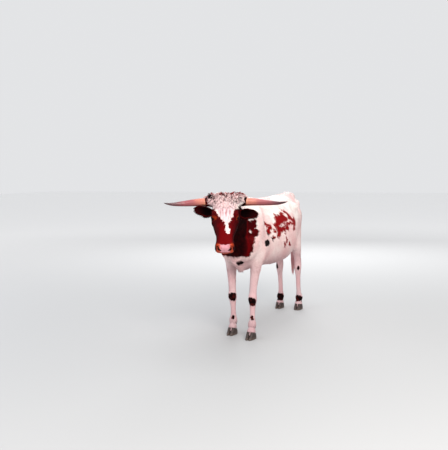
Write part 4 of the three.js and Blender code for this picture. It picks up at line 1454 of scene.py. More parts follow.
    @staticmethod
    def openings(points: Array, d: Array) -> Array:
        """Cut the eyes' sockets, the nostrils and the mouth, and add the lids.

        Args:
            points: Points near the face.
            d: Their distances from the closed skin.

        Returns:
            Their distances from the skin with its openings.
        """
        half_slit = 21.5
        for side in SIDES.values():
            eye = eye_axes(side)
            lid = Bulge(eye, (EYE_RADIUS + 4.6, EYE_RADIUS * 1.38, EYE_RADIUS * 1.12))
            d = melt(d, lid.distance(points), 9)
            ahead, along, up = eye.local(points)
            share = np.clip(1 - ((along + 0.5) / half_slit) ** 2, 0, 1)
            upper = up - (9.5 * share - 0.5)
            lower = -up - (7.5 * share - 0.5)
            slit = np.where(ahead > 0, np.maximum(upper, lower), 30.0)
            slit = np.maximum(slit, np.abs(along) - half_slit)
            ball = np.linalg.norm(points - eye.origin, axis=1) - (EYE_RADIUS - 1.5)
            d = np.maximum(d, -np.maximum(slit, -ball))
            nostril = nostril_axes(side)
            rim = Bulge(nostril.at(nostril_wing(side)), (17, 17, 27))
            d = melt(d, rim.distance(points), 8)
            share = nostril_share(points, side)
            d = d + 17 * smooth(share, 1.12, 0.2) - 2.4 * bell(share, 1.3, 0.16)
        down, across, out = HEAD.local(points)
        line = mouth_line(down, out) + 3.0 * bell(down, 470, 30)
        depth = smooth(down, 366, 384) * smooth(down, 520, 500)
        groove = 5.5 * depth * bell(line, 0, 2.6)
        split = 3.0 * smooth(down, 470, 490) * bell(across, 0, 2.2) * smooth(out, -20, -8)
        return d + groove + split

    def sunk(self, points: Array) -> Array:
        """Return how deep the skin steps in under the top of each hoof.

        Args:
            points: Points of the drawing frame.

        Returns:
            Millimetres, 0 off the hooves.
        """
        deep = np.zeros(len(points))
        for leg in LEGS:
            x, y = leg.foot[:2]
            low = coronet_height(leg, points[:, 1]) - points[:, 2]
            near = (np.abs(points[:, 0] - x) < 90) & (np.abs(points[:, 1] - y) < 120)
            deep += near * 12 * smooth(low, -1, 7)
        return deep

    def settle(
        self,
        piece: Piece,
        rounds: int,
        ease: float = 0.5,
        region: Callable | None = None,
    ) -> None:
        """Even out the skin's vertices and bring them onto its shape.

        Args:
            piece: The skin's mesh.
            rounds: How many times to do it.
            ease: The share of the way each vertex slides to its neighbours' middle.
            region: Tells which points take part; all do without it.
        """
        points, edges = drawing_points(piece), edges_of(piece)
        if region:
            part = region(points)
            for _ in range(3):
                part[edges[part[edges].any(axis=1)].ravel()] = True
            moving = np.flatnonzero(part)
        else:
            moving = np.arange(len(points))
        for turn in range(rounds):
            here = points[moving]
            if turn % 2 == 0:
                gap, normal = self.slope(here)
            else:
                gap = self.distance(here)
            slide = neighbour_mean(points, edges)[moving] - here
            slide -= dots(slide, normal)[:, None] * normal
            here = here + slide * ease - np.clip(gap, -14, 14)[:, None] * normal * 0.9
            points[moving] = here
        for _ in range(2):
            gap, normal = self.slope(points[moving])
            points[moving] -= 0.85 * np.clip(gap, -3, 3)[:, None] * normal
        put_points(piece, points)

    def slope(self, points: Array, step: float = 0.8) -> tuple[Array, Array]:
        """Return each point's distance from the skin and the way straight out of it.

        Args:
            points: Points of the drawing frame.
            step: How far apart the distances are taken.

        Returns:
            The distances, and unit directions.
        """
        near = self.distance(points)
        slopes = [self.distance(points + step * way) - near for way in np.eye(3)]
        return near, unit(np.stack(slopes, axis=1))

    def refine(self, piece: Piece, inside: Callable) -> None:
        """Split the faces whose middles lie in a region into four.

        Args:
            piece: The mesh object.
            inside: Tells which places lie in the region.
        """
        middles = np.empty(len(piece.data.polygons) * 3)
        piece.data.polygons.foreach_get("center", middles)
        open_mesh(piece, "polygons", inside(middles.reshape(-1, 3) / MM - SHIFT))
        bpy.ops.mesh.subdivide(number_cuts=1, smoothness=0)
        bpy.ops.object.mode_set(mode="OBJECT")

    def build(self) -> Piece:
        """Return the finished skin.

        Returns:
            The hide.
        """
        rig = Rough()
        self.flesh.rough(rig, None)
        piece = rig.joined()
        piece.name = piece.data.name = "hide"
        piece.data.remesh_voxel_size = self.voxel
        bpy.ops.object.voxel_remesh()
        self.drop_crumbs(piece)
        self.settle(piece, self.rounds)
        finer = ((fine_region, 3, 0.5), (face_region, 3, 0.5), (feature_region, 4, 0.35))
        for region, rounds, ease in finer:
            self.refine(piece, region)
            self.settle(piece, rounds, ease, region)
        soften(piece)
        return piece

    @staticmethod
    def drop_crumbs(piece: Piece) -> None:
        """Delete every shell but the largest.

        Args:
            piece: The mesh object.
        """
        edges = edges_of(piece)
        mark = np.arange(len(piece.data.vertices))
        while True:
            low = np.minimum(mark[edges[:, 0]], mark[edges[:, 1]])
            new = mark.copy()
            np.minimum.at(new, edges[:, 0], low)
            np.minimum.at(new, edges[:, 1], low)
            new = new[new]
            if np.array_equal(new, mark):
                break
            mark = new
        keep = np.bincount(mark).argmax()
        if (mark == keep).all():
            return
        open_mesh(piece, "vertices", mark != keep)
        bpy.ops.mesh.delete(type="VERT")
        bpy.ops.object.mode_set(mode="OBJECT")


def coronet_height(leg: Leg, y: Array) -> Array:
    """Return the height of a hoof's upper edge, which slopes down to the heel."""
    return HOOF_TOP - 6 - HOOF_SLOPE * (y - leg.foot[1])


def fine_region(points: Array) -> Array:
    """Return which points lie on head, neck or lower legs.

    Args:
        points: Points of the drawing frame.

    Returns:
        True where a point does.
    """
    down, _, _ = HEAD.local(points)
    head = (down > -70) & (points[:, 1] < -800)
    at, _, _ = NECK.local(points)
    neck = (at > 70) & (points[:, 1] < -560)
    return head | neck | (points[:, 2] < 560)


def face_region(points: Array) -> Array:
    """Return which points lie on the face in front of the jaw."""
    down, _, _ = HEAD.local(points)
    return (down > 90) & (points[:, 1] < FACE_FRONT)


def feature_region(points: Array) -> Array:
    """Return which points lie at the eyes, the nostrils or the mouth.

    Args:
        points: Points of the drawing frame.

    Returns:
        True where a point does.
    """
    near = np.zeros(len(points), bool)
    for side in SIDES.values():
        near |= np.linalg.norm(points - eye_axes(side).origin, axis=1) < 46
        near |= np.linalg.norm(points - nostril_wing(side), axis=1) < 34
    down, _, out = HEAD.local(points)
    mouth = (down > 364) & (np.abs(mouth_line(down, out)) < 13)
    mouth &= points[:, 1] < FACE_FRONT
    return near | mouth


# Horns, ears, eyes, hooves and tail


def catmull(points: Sequence[Array], t: Array) -> Array:
    """Return points on a smooth curve through a line of points.

    Args:
        points: The points to pass through.
        t: Shares of the way from the first to the last.

    Returns:
        The curve's points, spaced by number and not by length.
    """
    p = np.asarray(points, float)
    place = np.clip(t, 0, 1) * (len(p) - 1)
    i = np.minimum(place.astype(int), len(p) - 2)
    u = (place - i)[:, None]
    a = p[np.maximum(i - 1, 0)]
    b, c = p[i], p[i + 1]
    d = p[np.minimum(i + 2, len(p) - 1)]
    return 0.5 * (
        2 * b + (c - a) * u + (2 * a - 5 * b + 4 * c - d) * u**2 + (3 * b - a - 3 * c + d) * u**3
    )


@dataclass
class Course:
    """A curve with even steps and steady directions across it."""

    points: Sequence[Array]
    hint: Array
    steps: int = 240

    def __post_init__(self) -> None:
        """Sample the curve and measure it."""
        fine = catmull(self.points, np.linspace(0, 1, self.steps * 4))
        far = np.concatenate([[0], np.cumsum(np.linalg.norm(np.diff(fine, axis=0), axis=1))])
        even = np.linspace(0, far[-1], self.steps)
        self.length = float(far[-1])
        self.line = np.stack([np.interp(even, far, fine[:, k]) for k in range(3)], axis=1)
        self.along = unit(np.gradient(self.line, axis=0))
        self.side = unit(np.cross(self.along, self.hint))
        self.up = np.cross(self.side, self.along)

    def sample(self, t: Array) -> tuple[Array, Array, Array, Array]:
        """Return the point and the along, side and up directions at shares of the length.

        Args:
            t: Shares of the length.

        Returns:
            Four arrays with a row for each share.
        """
        place = np.clip(t, 0, 1) * (self.steps - 1)
        i = np.minimum(place.astype(int), self.steps - 2)
        u = (place - i)[:, None]
        rows = (self.line, self.along, self.side, self.up)
        point, along, side, up = (r[i] * (1 - u) + r[i + 1] * u for r in rows)
        return point, unit(along), unit(side), unit(up)


@dataclass
class Horn:
    """One horn: a ringed root, a smooth shaft and a point turned up."""

    side: int
    radius: float = 36.0
    around: int = 56
    along: int = 220
    taper_at: tuple = (0, 0.2, 0.4, 0.6, 0.75, 0.88, 0.96, 1)
    taper: tuple = (1, 1, 0.86, 0.66, 0.48, 0.3, 0.15, 0.03)
    line: tuple = (
        (96, -4, -4),
        (180, 0, 0),
        (260, 5, -3),
        (350, 20, -9),
        (440, 48, -12),
        (492, 74, -5),
        (518, 92, 4),
    )

    def course(self) -> Course:
        """Return the curve down the horn's middle.

        Returns:
            The curve.
        """
        points = [
            POLL + HEAD.side * out * self.side + HEAD_FORWARD * ahead + UP * up
            for out, ahead, up in self.line
        ]
        return Course(points, UP)

    def build(self) -> Piece:
        """Return the horn, with its rings and the flutes along it.

        Returns:
            The horn.
        """
        course = self.course()

        def place(turn: Array, t: Array) -> Array:
            """Return the horn's points at shares round and along it.

            Args:
                turn: Shares of the way round.
                t: Shares of the way along.

            Returns:
                Points of the drawing frame.
            """
            point, _, side, up = course.sample(t)
            angle = turn * 2 * math.pi
            wide = self.radius * through(self.taper_at, self.taper, t)
            tip = np.sqrt(np.clip((1 - t) / 0.012, 0, 1))
            at = t * course.length
            root = smooth(t, 0.46, 0.12)
            wobble = 2.2 * np.sin(angle * 2 + 1.1) + 1.4 * np.sin(angle * 3 + t * 9)
            ring = np.sin((at + wobble) * 2 * math.pi / 13.5 + 0.9 * np.sin(at / 29))
            rise = 0.9 * root * smooth(ring, -0.6, 1.0)
            rise += 0.32 * root * np.sin((at + 1.4 * wobble) * 2 * math.pi / 4.1)
            flute = np.sin(angle * 9 + 1.2 * np.sin(at / 60)) + 0.6 * np.sin(angle * 17 + at / 90)
            rise += 0.16 * flute * smooth(t, 1.0, 0.7)
            r = np.maximum(wide - 0.7 + rise, 0.3) * tip * (t > 0)
            flat = 1 - 0.05 * smooth(t, 0.5, 0.1) * np.abs(np.sin(angle))
            sideways = (np.cos(angle) * r)[:, None] * side
            return point + sideways + (np.sin(angle) * r * flat)[:, None] * up

        name = sided(self.side, "horn_shaft")
        piece = wrapped_grid(name, self.around, self.along, place)
        soften(piece)
        return piece


@dataclass
class Ear:
    """One ear: a leaf that curls round its own axis, deepest near its root."""

    side: int
    length: float = 176.0
    half: float = 47.0
    around: int = 64
    along: int = 60

    def axes(self) -> Axes:
        """Return the ear's axes: along it, up across it, and out of its opening.

        Returns:
            Axes from the ear's root.
        """
        lift = -0.16 if self.side > 0 else 0.14
        along = unit(HEAD.side * self.side + UP * lift - HEAD_FORWARD * 0.12)
        opening = HEAD_FORWARD - UP * 0.25
        opening = unit(opening - (opening @ along) * along)
        up = unit(np.cross(along, opening) * self.side)
        return Axes(on_head(88, 98 * self.side, -30), along, up, opening)

    def surface(self, share: Array, t: Array, inner: bool | Array) -> Array:
        """Return points on the leaf.

        Args:
            share: From -1 at the lower edge to 1 at the upper edge.
            t: From 0 at the root to 1 at the tip.
            inner: Whether each point is on the hollow side.

        Returns:
            The points in the drawing frame.
        """
        axes = self.axes()
        width = self.half * (0.5 + 0.5 * smooth(t, 0, 0.42))
        width = width * np.sqrt(np.maximum(1 - np.clip(t, 0, 1) ** 3.2, 0.0004))
        curl = np.radians(lerp(118, 48, smooth(t, 0, 0.75)))
        radius = width / np.sin(np.minimum(curl, math.pi / 2))
        edge = np.sqrt(np.clip(1 - np.abs(share) ** 6, 0, 1))
        thick = lerp(9, 5, t) * (0.25 + 0.75 * edge)
        bow = 10 * np.sin(math.pi * t)
        wave = 1.8 * np.sin(t * 13 + share * 2.4) * np.abs(share) ** 3
        ridge = 1.5 * np.cos(share * 2 * math.pi * 2.2) * smooth(t, 0.9, 0.5) * edge
        r = radius - np.where(inner, thick + ridge, 0) + wave
        angle = share * curl
        centre = axes.point(t * self.length, 0 * t, 0 * t)
        lift = (radius - bow - 14) - np.cos(angle) * r
        return centre + lift[:, None] * axes.side + (np.sin(angle) * r)[:, None] * axes.up

    def build(self) -> Piece:
        """Return the ear as one closed leaf, hollow in front.

        Returns:
            The leaf.
        """

        def place(turn: Array, t: Array) -> Array:
            """Return the ear's points at shares round and along it.

            Args:
                turn: Shares of the way round.
                t: Shares of the way along.

            Returns:
                Points of the drawing frame.
            """
            inner = turn > 0.5
            share = np.where(inner, 3 - 4 * turn, 4 * turn - 1)
            at = 1 - (1 - t) ** 1.25
            return self.surface(np.clip(share, -1, 1), at, inner)

        piece = wrapped_grid(sided(self.side, "ear_leaf"), self.around, self.along, place)
        share = np.empty(len(piece.data.vertices) * 3, np.float32)
        piece.data.attributes["share"].data.foreach_get("vector", share)
        turn = share[::3]
        store(piece, "hollow", smooth(turn, 0.5, 0.56) * smooth(turn, 1.0, 0.94))
        soften(piece)
        return piece


@dataclass
class EyeBall:
    """One eye: a ball with a clear front, a dark iris and a level, oblong pupil."""

    side: int

    def build(self) -> Piece:
        """Return the ball, with its look kept as an attribute.

        Returns:
            The ball.
        """
        axes = eye_axes(self.side)
        bpy.ops.mesh.primitive_uv_sphere_add(segments=64, ring_count=40)
        piece = bpy.context.object
        piece.name = piece.data.name = sided(self.side, "eye_ball")
        ball = raw_points(piece)
        front = smooth(ball[:, 2], 0.72, 0.92)
        swell = EYE_RADIUS * (0.985 + 0.015 * front)
        x, y, z = ball.T
        put_points(piece, axes.point(z * swell, x * swell, y * swell))
        store(piece, "gaze", ball)
        soften(piece)
        return piece


@dataclass
class Hoof:
    """One foot's two claws and two dewclaws."""

    leg: Leg
    rings: tuple = ((0, 84, 37, 22.5), (8, 80, 39, 23.5), (38, 55, 38, 22.5), (84, 18, 33, 20))

    @property
    def middle(self) -> tuple[float, float]:
        """Return how far out and back the foot's middle stands.

        Returns:
            Both distances in millimetres.
        """
        rows = FORE_STATIONS if self.leg.fore else HIND_STATIONS
        at, x, y = zip(*sorted(row[:3] for row in rows))
        out, back = (float(through(at, v, np.array([HOOF_TOP]))[0]) for v in (x, y))
        return out, back

    def claw(self, which: int, name: str) -> Piece:
        """Return one claw: a sloping wall with growth rings, and its sole.

        Args:
            which: 1 for the outer claw and -1 for the inner.
            name: The new object's name.

        Returns:
            The claw's mesh.
        """
        out, back = self.middle
        heights = [r[0] for r in self.rings]

        def place(turn: Array, t: Array) -> Array:
            """Return the claw's points at shares round and along it.

            Args:
                turn: Shares of the way round.
                t: Shares of the way along.

            Returns:
                Points of the drawing frame.
            """
            angle = turn * 2 * math.pi
            cosine, sine = np.cos(angle), np.sin(angle)
            rise = np.clip((t - 0.12) / 0.76, 0, 1)
            top = HOOF_TOP - 7 + HOOF_SLOPE * sine * 36
            height = 0.4 + rise * (top - 0.4)
            toe, heel, half = (
                through(heights, [r[k] for r in self.rings], height) for k in (1, 2, 3)
            )
            ring = 0.45 * np.sin(height * 2 * math.pi / 6.4 + 0.8 * np.sin(angle * 2))
            grow = ring * smooth(rise, 0.02, 0.12) * smooth(rise, 0.98, 0.8)
            grow = grow + 1.4 * bell(rise, 0.97, 0.05)
            edge = np.sqrt(np.clip(np.minimum(t / 0.12, (1 - t) / 0.12), 0, 1))
            close = np.where(rise <= 0, np.minimum(t / 0.115, 1), np.where(rise >= 1, edge, 1))
            flat = np.where(cosine * which < 0, 0.72, 1)
            across = np.sign(cosine) * np.abs(cosine) ** 0.7 * (half + grow) * flat
            tucked = 1 - 0.34 * smooth(rise, 0.45, 1.0) * (-sine).clip(0, 1)
            length = np.where(sine > 0, toe, heel * tucked) + grow
            bend = which * -6 * sine.clip(0, 1) * lerp(1.0, 0.4, smooth(height, 14, 46))
            centre = which * (1.6 + half * 0.72 + 1)
            round_toe = 2.4 * smooth(rise, 0.06, 0.0)
            x = out + centre + (across + bend) * close
            forward = sine * (length - round_toe) * close - back
            ahead = forward - self.leg.stand + self.leg.lean(40)
            return self.leg.axes.point(height, LEG_X + x, ahead)

        piece = wrapped_grid(name, 48, 44, place)
        soften(piece, 50)
        return piece

    def dewclaw(self, which: int, name: str) -> Piece:
        """Return one small claw behind the fetlock.

        Args:
            which: 1 for the outer and -1 for the inner.
            name: The new object's name.

        Returns:
            The dewclaw's mesh.
        """
        out, back = self.middle
        up = spot(0, 0.5, 0.87)
        side = self.leg.axes.side
        origin = self.leg.axes.point(
            96, LEG_X + out + which * 17, -(self.leg.stand + back) + self.leg.lean(60) - 30
        )
        axes = Axes(origin, up, np.cross(up, side), side)

        def place(turn: Array, t: Array) -> Array:
            """Return the dewclaw's points at shares round and along it.

            Args:
                turn: Shares of the way round.
                t: Shares of the way along.

            Returns:
                Points of the drawing frame.
            """
            angle, tilt = turn * 2 * math.pi, (t - 0.5) * math.pi
            r = np.cos(tilt) * (1 + 0.03 * np.sin(t * 26))
            at, rise = np.sin(tilt) * 17, np.sin(angle) * r * 10
            return axes.point(at, np.cos(angle) * r * 12, rise)

        piece = wrapped_grid(name, 24, 24, place)
        soften(piece)
        return piece


@dataclass
class Dock:
    """The tail's slim, jointed tube from the rump down into its switch."""

    radii: tuple = (26.0, 13.0)
    sink: float = 3.0

    def course(self) -> Course:
        """Return the curve down the tail's middle."""
        return Course(TAIL_LINE, spot(1, 0.02, 0.01))

    def radius(self, t: Array) -> Array:
        """Return the flesh's radius at shares of the tail's length."""
        return lerp(*self.radii, np.minimum(t * 1.5, 1))

    def build(self) -> Piece:
        """Return the tube, with a faint swelling at each joint.

        Returns:
            The tube.
        """
        course = self.course()

        def place(turn: Array, t: Array) -> Array:
            """Return the tail's points at shares round and along it.

            Args:
                turn: Shares of the way round.
                t: Shares of the way along.

            Returns:
                Points of the drawing frame.
            """
            point, _, side, up = course.sample(t)
            angle = turn * 2 * math.pi
            joint = 0.5 * np.sin(t * course.length * 2 * math.pi / 34)
            ends = np.sqrt(np.clip(np.minimum(t, 1 - t) / 0.02, 0, 1))
            r = (self.radius(t) - self.sink + joint) * ends
            ring = np.cos(angle)[:, None] * side + np.sin(angle)[:, None] * up
            return point + r[:, None] * ring

        piece = wrapped_grid("tail_dock", 28, 160, place)
        soften(piece)
        return piece


# Coat


@dataclass(frozen=True)
class Blade:
    """One hair lock's mesh, modelled once: rings of corners, station by station."""

    corners: int
    stations: int

    def template(self) -> tuple[Array, Array, list[tuple[int, ...]]]:
        """Model the lock from a cylinder primitive and read it back.

        Returns:
            Each vertex's station, its place in the section, and the faces.
        """
        bpy.ops.mesh.primitive_cylinder_add(vertices=self.corners, radius=1, depth=1)
        piece = bpy.context.object
        open_mesh(piece, "polygons", [face.normal.z > 0.5 for face in piece.data.polygons])
        for _ in range(self.stations - 2):
            bpy.ops.mesh.extrude_region_move(TRANSFORM_OT_translate={"value": (0, 0, 1)})
        bpy.ops.mesh.merge(type="CENTER")
        bpy.ops.mesh.select_all(action="SELECT")
        bpy.ops.mesh.normals_make_consistent(inside=False)
        bpy.ops.object.mode_set(mode="OBJECT")
        points = raw_points(piece)
        station = np.rint(points[:, 2] + 0.5).astype(int)
        faces = [tuple(p.vertices) for p in piece.data.polygons]
        bpy.data.objects.remove(piece)
        return station, points[:, :2].copy(), faces


@dataclass
class Locks:
    """Many locks' middle lines, with their directions and thicknesses station by station."""

    line: Array
    side: Array
    up: Array
    width: Array
    thick: Array
    root: Array
    patch: Array

    def and_more(self, more: Locks) -> Locks:
        """Return these locks and more as one set."""
        pairs = ((getattr(self, f.name), getattr(more, f.name)) for f in fields(self))
        return Locks(*(np.concatenate(pair) for pair in pairs))

    def mesh(self, name: str, blade: Blade) -> Piece:
        """Copy one lock's mesh along every line into a new object.

        Args:
            name: The object's name.
            blade: The lock that is copied.

        Returns:
            The coat piece, with its root, its tip share and its bake map.
        """
        station, section, faces = blade.template()
        count, size = len(self.line), len(station)
        flat = blade.corners == 3
        if flat:
            section = -section
        x, y = section[:, 0][None, :, None], section[:, 1][None, :, None]
        points = self.line[:, station]
        points = points + self.side[:, station] * self.width[:, station, None] * x
        points = points + self.up[:, station] * self.thick[:, station, None] * y
        data = bpy.data.meshes.new(name)
        data.vertices.add(count * size)
        placed = (points.reshape(-1, 3) + SHIFT) * MM
        data.vertices.foreach_set("co", placed.astype(np.float32).ravel())
        corner = np.concatenate([np.array(f) for f in faces])
        totals = np.array([len(f) for f in faces])
        starts = np.concatenate([[0], np.cumsum(totals)[:-1]])
        data.loops.add(count * len(corner))
        loops = (corner[None] + size * np.arange(count)[:, None]).ravel()
        data.loops.foreach_set("vertex_index", loops.astype(np.int32))
        data.polygons.add(count * len(faces))
        first = (starts[None] + len(corner) * np.arange(count)[:, None]).ravel()
        data.polygons.foreach_set("loop_start", first.astype(np.int32))
        data.polygons.foreach_set("use_smooth", np.ones(len(first), bool))
        data.update(calc_edges=True)
        if flat:
            facing = self.up[:, station] + 0.3 * self.side[:, station] * x
            data.normals_split_custom_set_from_vertices(facing.reshape(-1, 3).tolist())
        piece = bpy.data.objects.new(name, data)
        bpy.context.collection.objects.link(piece)
        share = station / (blade.stations - 1)
        store(piece, "root", np.repeat((self.root + SHIFT) * MM, size, axis=0))
        store(piece, "tip", np.tile(share, count))
        inside = np.column_stack([section[:, 0] * 0.0006, (share - 0.5) * 0.0024])
        patches = (self.patch[:, None] + inside[None]).reshape(-1, 2)
        layer = data.uv_layers.new(name="OFBake")
        layer.data.foreach_set("uv", patches[loops].astype(np.float32).ravel())
        return piece


@dataclass
class Bed:
    """The skin as a bed for hair: points drawn evenly over it."""

    hide: Piece

    def __post_init__(self) -> None:
        """Read the skin's triangles and normals."""
        data = self.hide.data
        data.calc_loop_triangles()
        flat = np.empty(len(data.loop_triangles) * 3, np.int32)
        data.loop_triangles.foreach_get("vertices", flat)
        self.triangles = flat.reshape(-1, 3)
        self.points = drawing_points(self.hide)
        normals = np.empty(len(data.vertices) * 3, np.float32)
        data.vertex_normals.foreach_get("vector", normals)
        self.normals = normals.reshape(-1, 3).astype(float)
        a, b, c = (self.points[self.triangles[:, k]] for k in range(3))
        self.area = np.linalg.norm(np.cross(b - a, c - a), axis=1) / 2
        self.middle = (a + b + c) / 3

    def draw(self, density: Callable, seed: int) -> tuple[Array, Array, np.random.Generator]:
        """Scatter points over the skin.

        Args:
            density: Points per square millimetre, from the faces' middles.
            seed: The draw's seed.

        Returns:
            The points, the normals there, and the generator for what follows.
        """
        rng = np.random.default_rng(seed)
        weight = self.area * density(self.middle)
        total = weight.sum()
        count = int(total)
        even = (np.arange(count) + rng.random(count)) / count * total
        chosen = np.searchsorted(np.cumsum(weight), even).clip(0, len(weight) - 1)
        u, v = rng.random(count), rng.random(count)
        over = u + v > 1
        u, v = np.where(over, 1 - u, u), np.where(over, 1 - v, v)
        shares = np.stack([1 - u - v, u, v], axis=1)[:, :, None]
        corners = self.triangles[chosen]
        points = (self.points[corners] * shares).sum(axis=1)
        normals = unit((self.normals[corners] * shares).sum(axis=1))
        return points, normals, rng


class Region(IntEnum):
    """The stretches of the body that each carry their own coat."""

    TORSO = 0
    NECK = 1
    HEAD = 2
    LEG = 3
    TAIL = 4


def region_of(points: Array) -> Array:
    """Return each point's region as its number in Region.

    Args:
        points: Points of the drawing frame.

    Returns:
        The regions' numbers.
    """
    down, _, out = HEAD.local(points)
    at, _, _ = NECK.local(points)
    head = (down + 0.5 * out > -62) & (points[:, 1] < -830)
    head &= (out > -150) & ((down > 20) | (out > -95))
    neck = (at > 44) & (points[:, 1] < -560) & (points[:, 2] > 640)
    leg = (points[:, 2] < 600) & ~head
    result = np.zeros(len(points), int)
    result[neck] = Region.NECK
    result[leg] = Region.LEG
    result[head] = Region.HEAD
    return result


def nearest_leg(points: Array) -> Array:
    """Return which of the four legs each point is nearest to.

    Args:
        points: Points of the drawing frame.

    Returns:
        The legs' numbers in LEGS.
    """
    stands = [leg.place(0, 0, 300) for leg in LEGS]
    gaps = [np.hypot(points[:, 0] - s[0], points[:, 1] - s[1]) for s in stands]
    return np.argmin(gaps, axis=0)


def bare(points: Array) -> Array:
    """Return how naked the skin is: 1 at eyes, nostrils and lips, 0 under the coat.

    Args:
        points: Points of the drawing frame.

    Returns:
        A share for each point.
    """
    naked = np.zeros(len(points))
    down, across, out = HEAD.local(points)
    near = points[:, 1] < FACE_FRONT
    wide = np.abs(across - 3)
    edge = 463 - 7 * (wide / 50) ** 2 + 2.5 * np.sin(across / 5.5)
    naked = np.maximum(naked, smooth(down - edge, -5, 6) * smooth(wide, 66, 54) * near)
    naked = np.maximum(naked, smooth(down, 484, 496) * smooth(out, -46, -34) * near)
    lips = smooth(np.abs(mouth_line(down, out)), 9, 5)
    naked = np.maximum(naked, smooth(down, MOUTH_CORNER, 384) * lips * near)
    for side in SIDES.values():
        ahead, along, up = eye_axes(side).local(points)
        ring = np.hypot(along / 25, up / 13.5)
        naked = np.maximum(naked, smooth(ring, 1.08, 0.95) * (ahead > 0))
        naked = np.maximum(naked, smooth(nostril_share(points, side), 1.9, 1.4))
    return naked


def gloom(points: Array) -> Array:
    """Return painted shade inside the nostrils and along the mouth's line: 0 to 1.

    Args:
        points: Points of the drawing frame.

    Returns:
        A share for each point.
    """
    deep = np.zeros(len(points))
    for side in SIDES.values():
        deep = np.maximum(deep, smooth(nostril_share(points, side), 1.12, 0.84))
    down, _, out = HEAD.local(points)
    line = np.abs(mouth_line(down, out) + 3.0 * bell(down, 470, 30))
    mouth = smooth(line, 3.4, 1.2) * smooth(down, MOUTH_CORNER, 384)
    return np.maximum(deep, mouth * (points[:, 1] < FACE_FRONT))


def grain(points: Array) -> Array:
    """Return each point's place, in metres, drawn together along the way the hair lies.

    Args:
        points: Points of the drawing frame.

    Returns:
        Places for a pattern that runs with the hair.
    """
    down, across, out = HEAD.local(points)
    face = (region_of(points) == Region.HEAD)[:, None]
    leg = smooth(points[:, 2], 640, 560)[:, None]
    body = points * lerp(spot(1, 0.16, 0.7), spot(1, 1, 0.14), leg)
    head = np.column_stack([0.16 * down, across, out])
    return np.where(face, head, body) * MM


def hidden(points: Array) -> Array:
    """Return which points lie under a horn, a hoof or an ear's root.

    Args:
        points: Points of the drawing frame.

    Returns:
        True where a point does.
    """
    down, across, out = HEAD.local(points)
    horn = (np.abs(across) > 148) & (np.hypot(down + 3, out) < 52)
    ear = np.zeros(len(points), bool)
    for side in SIDES.values():
        ear |= np.linalg.norm(points - on_head(90, 116 * side, -30), axis=1) < 22
    foot = np.zeros(len(points), bool)
    for leg in LEGS:
        close = np.hypot(points[:, 0] - leg.foot[0], points[:, 1] - leg.foot[1]) < 120
        foot |= close & (points[:, 2] < coronet_height(leg, points[:, 1]) - 1)
    return horn | ear | foot


def lie(points: Array, normals: Array) -> Array:
    """Return the direction in which the hair lies at each point.

    Args:
        points: The hairs' roots.
        normals: The skin's outward directions there.

    Returns:
        Unit directions along the skin.
    """
    x, y, z = points.T
    way = np.tile(spot(0, 1, -0.32), (len(points), 1))
    high = smooth(np.abs(x), 20, 130)
    way[:, 2] *= high
    way[:, 2] -= 0.5 * smooth(y, 420, 700)
    at, _, _ = NECK.local(points)
    neck = smooth(at, 40, 160) * (y < -560)
    way += neck[:, None] * (spot(0, 0.1, -0.75) - NECK.along * 0.3)
    leg = smooth(z, 700, 560)
    way = way * (1 - leg[:, None]) + leg[:, None] * spot(0, 0.22, -1)
    down, across, out = HEAD.local(points)
    head = ((region_of(points) == Region.HEAD) * smooth(down, -60, 10))[:, None]
    swirl = smooth(down, 110, 190) * 2 - 1
    face = swirl[:, None] * HEAD.along + (across / 60).clip(-1.2, 1.2)[:, None] * HEAD.side
    cheek = smooth(out, 20, -30)[:, None]
    face = face * (1 - cheek) + cheek * (0.7 * HEAD.along - 0.8 * HEAD.up)
    way = way * (1 - head) + head * face
    eddy = 0.28 * np.sin(y / 53 + 1.4 * np.sin(z / 71)) + 0.2 * np.sin(z / 37 + y / 91 + x / 50)
    way = way - dots(way, normals)[:, None] * normals
    way = unit(way)
    return unit(way + eddy[:, None] * np.cross(normals, way))


def inset(u: Array, v: Array, rim: float = 0.02) -> Array:
    """Return places in the unit square, drawn in from its rim."""
    return np.column_stack([rim + (1 - 2 * rim) * u, rim + (1 - 2 * rim) * v])


def unwrap(points: Array, region: Region) -> Array:
    """Lay a region of the skin out flat, as if cut open along its far side.

    Args:
        points: The hairs' roots.
        region: Where they all lie.

    Returns:
        Their places in the unit square.
    """
    if region == Region.NECK:
        at, a, b = NECK.local(points)
        b = b + 40
    elif region == Region.HEAD:
        at, a, b = HEAD.local(points)
        b = b + 20
    elif region == Region.TORSO:
        at, a, b = points[:, 1], points[:, 0], points[:, 2] - 930
    else:
        middle = points[:, :2].mean(axis=0)
        at, a, b = points[:, 2], points[:, 0] - middle[0], points[:, 1] - middle[1]
    turn = np.arctan2(a, b) / (2 * math.pi) + 0.5
    return inset(turn, (at - at.min()) / max(float(np.ptp(at)), 1.0), 0.01)


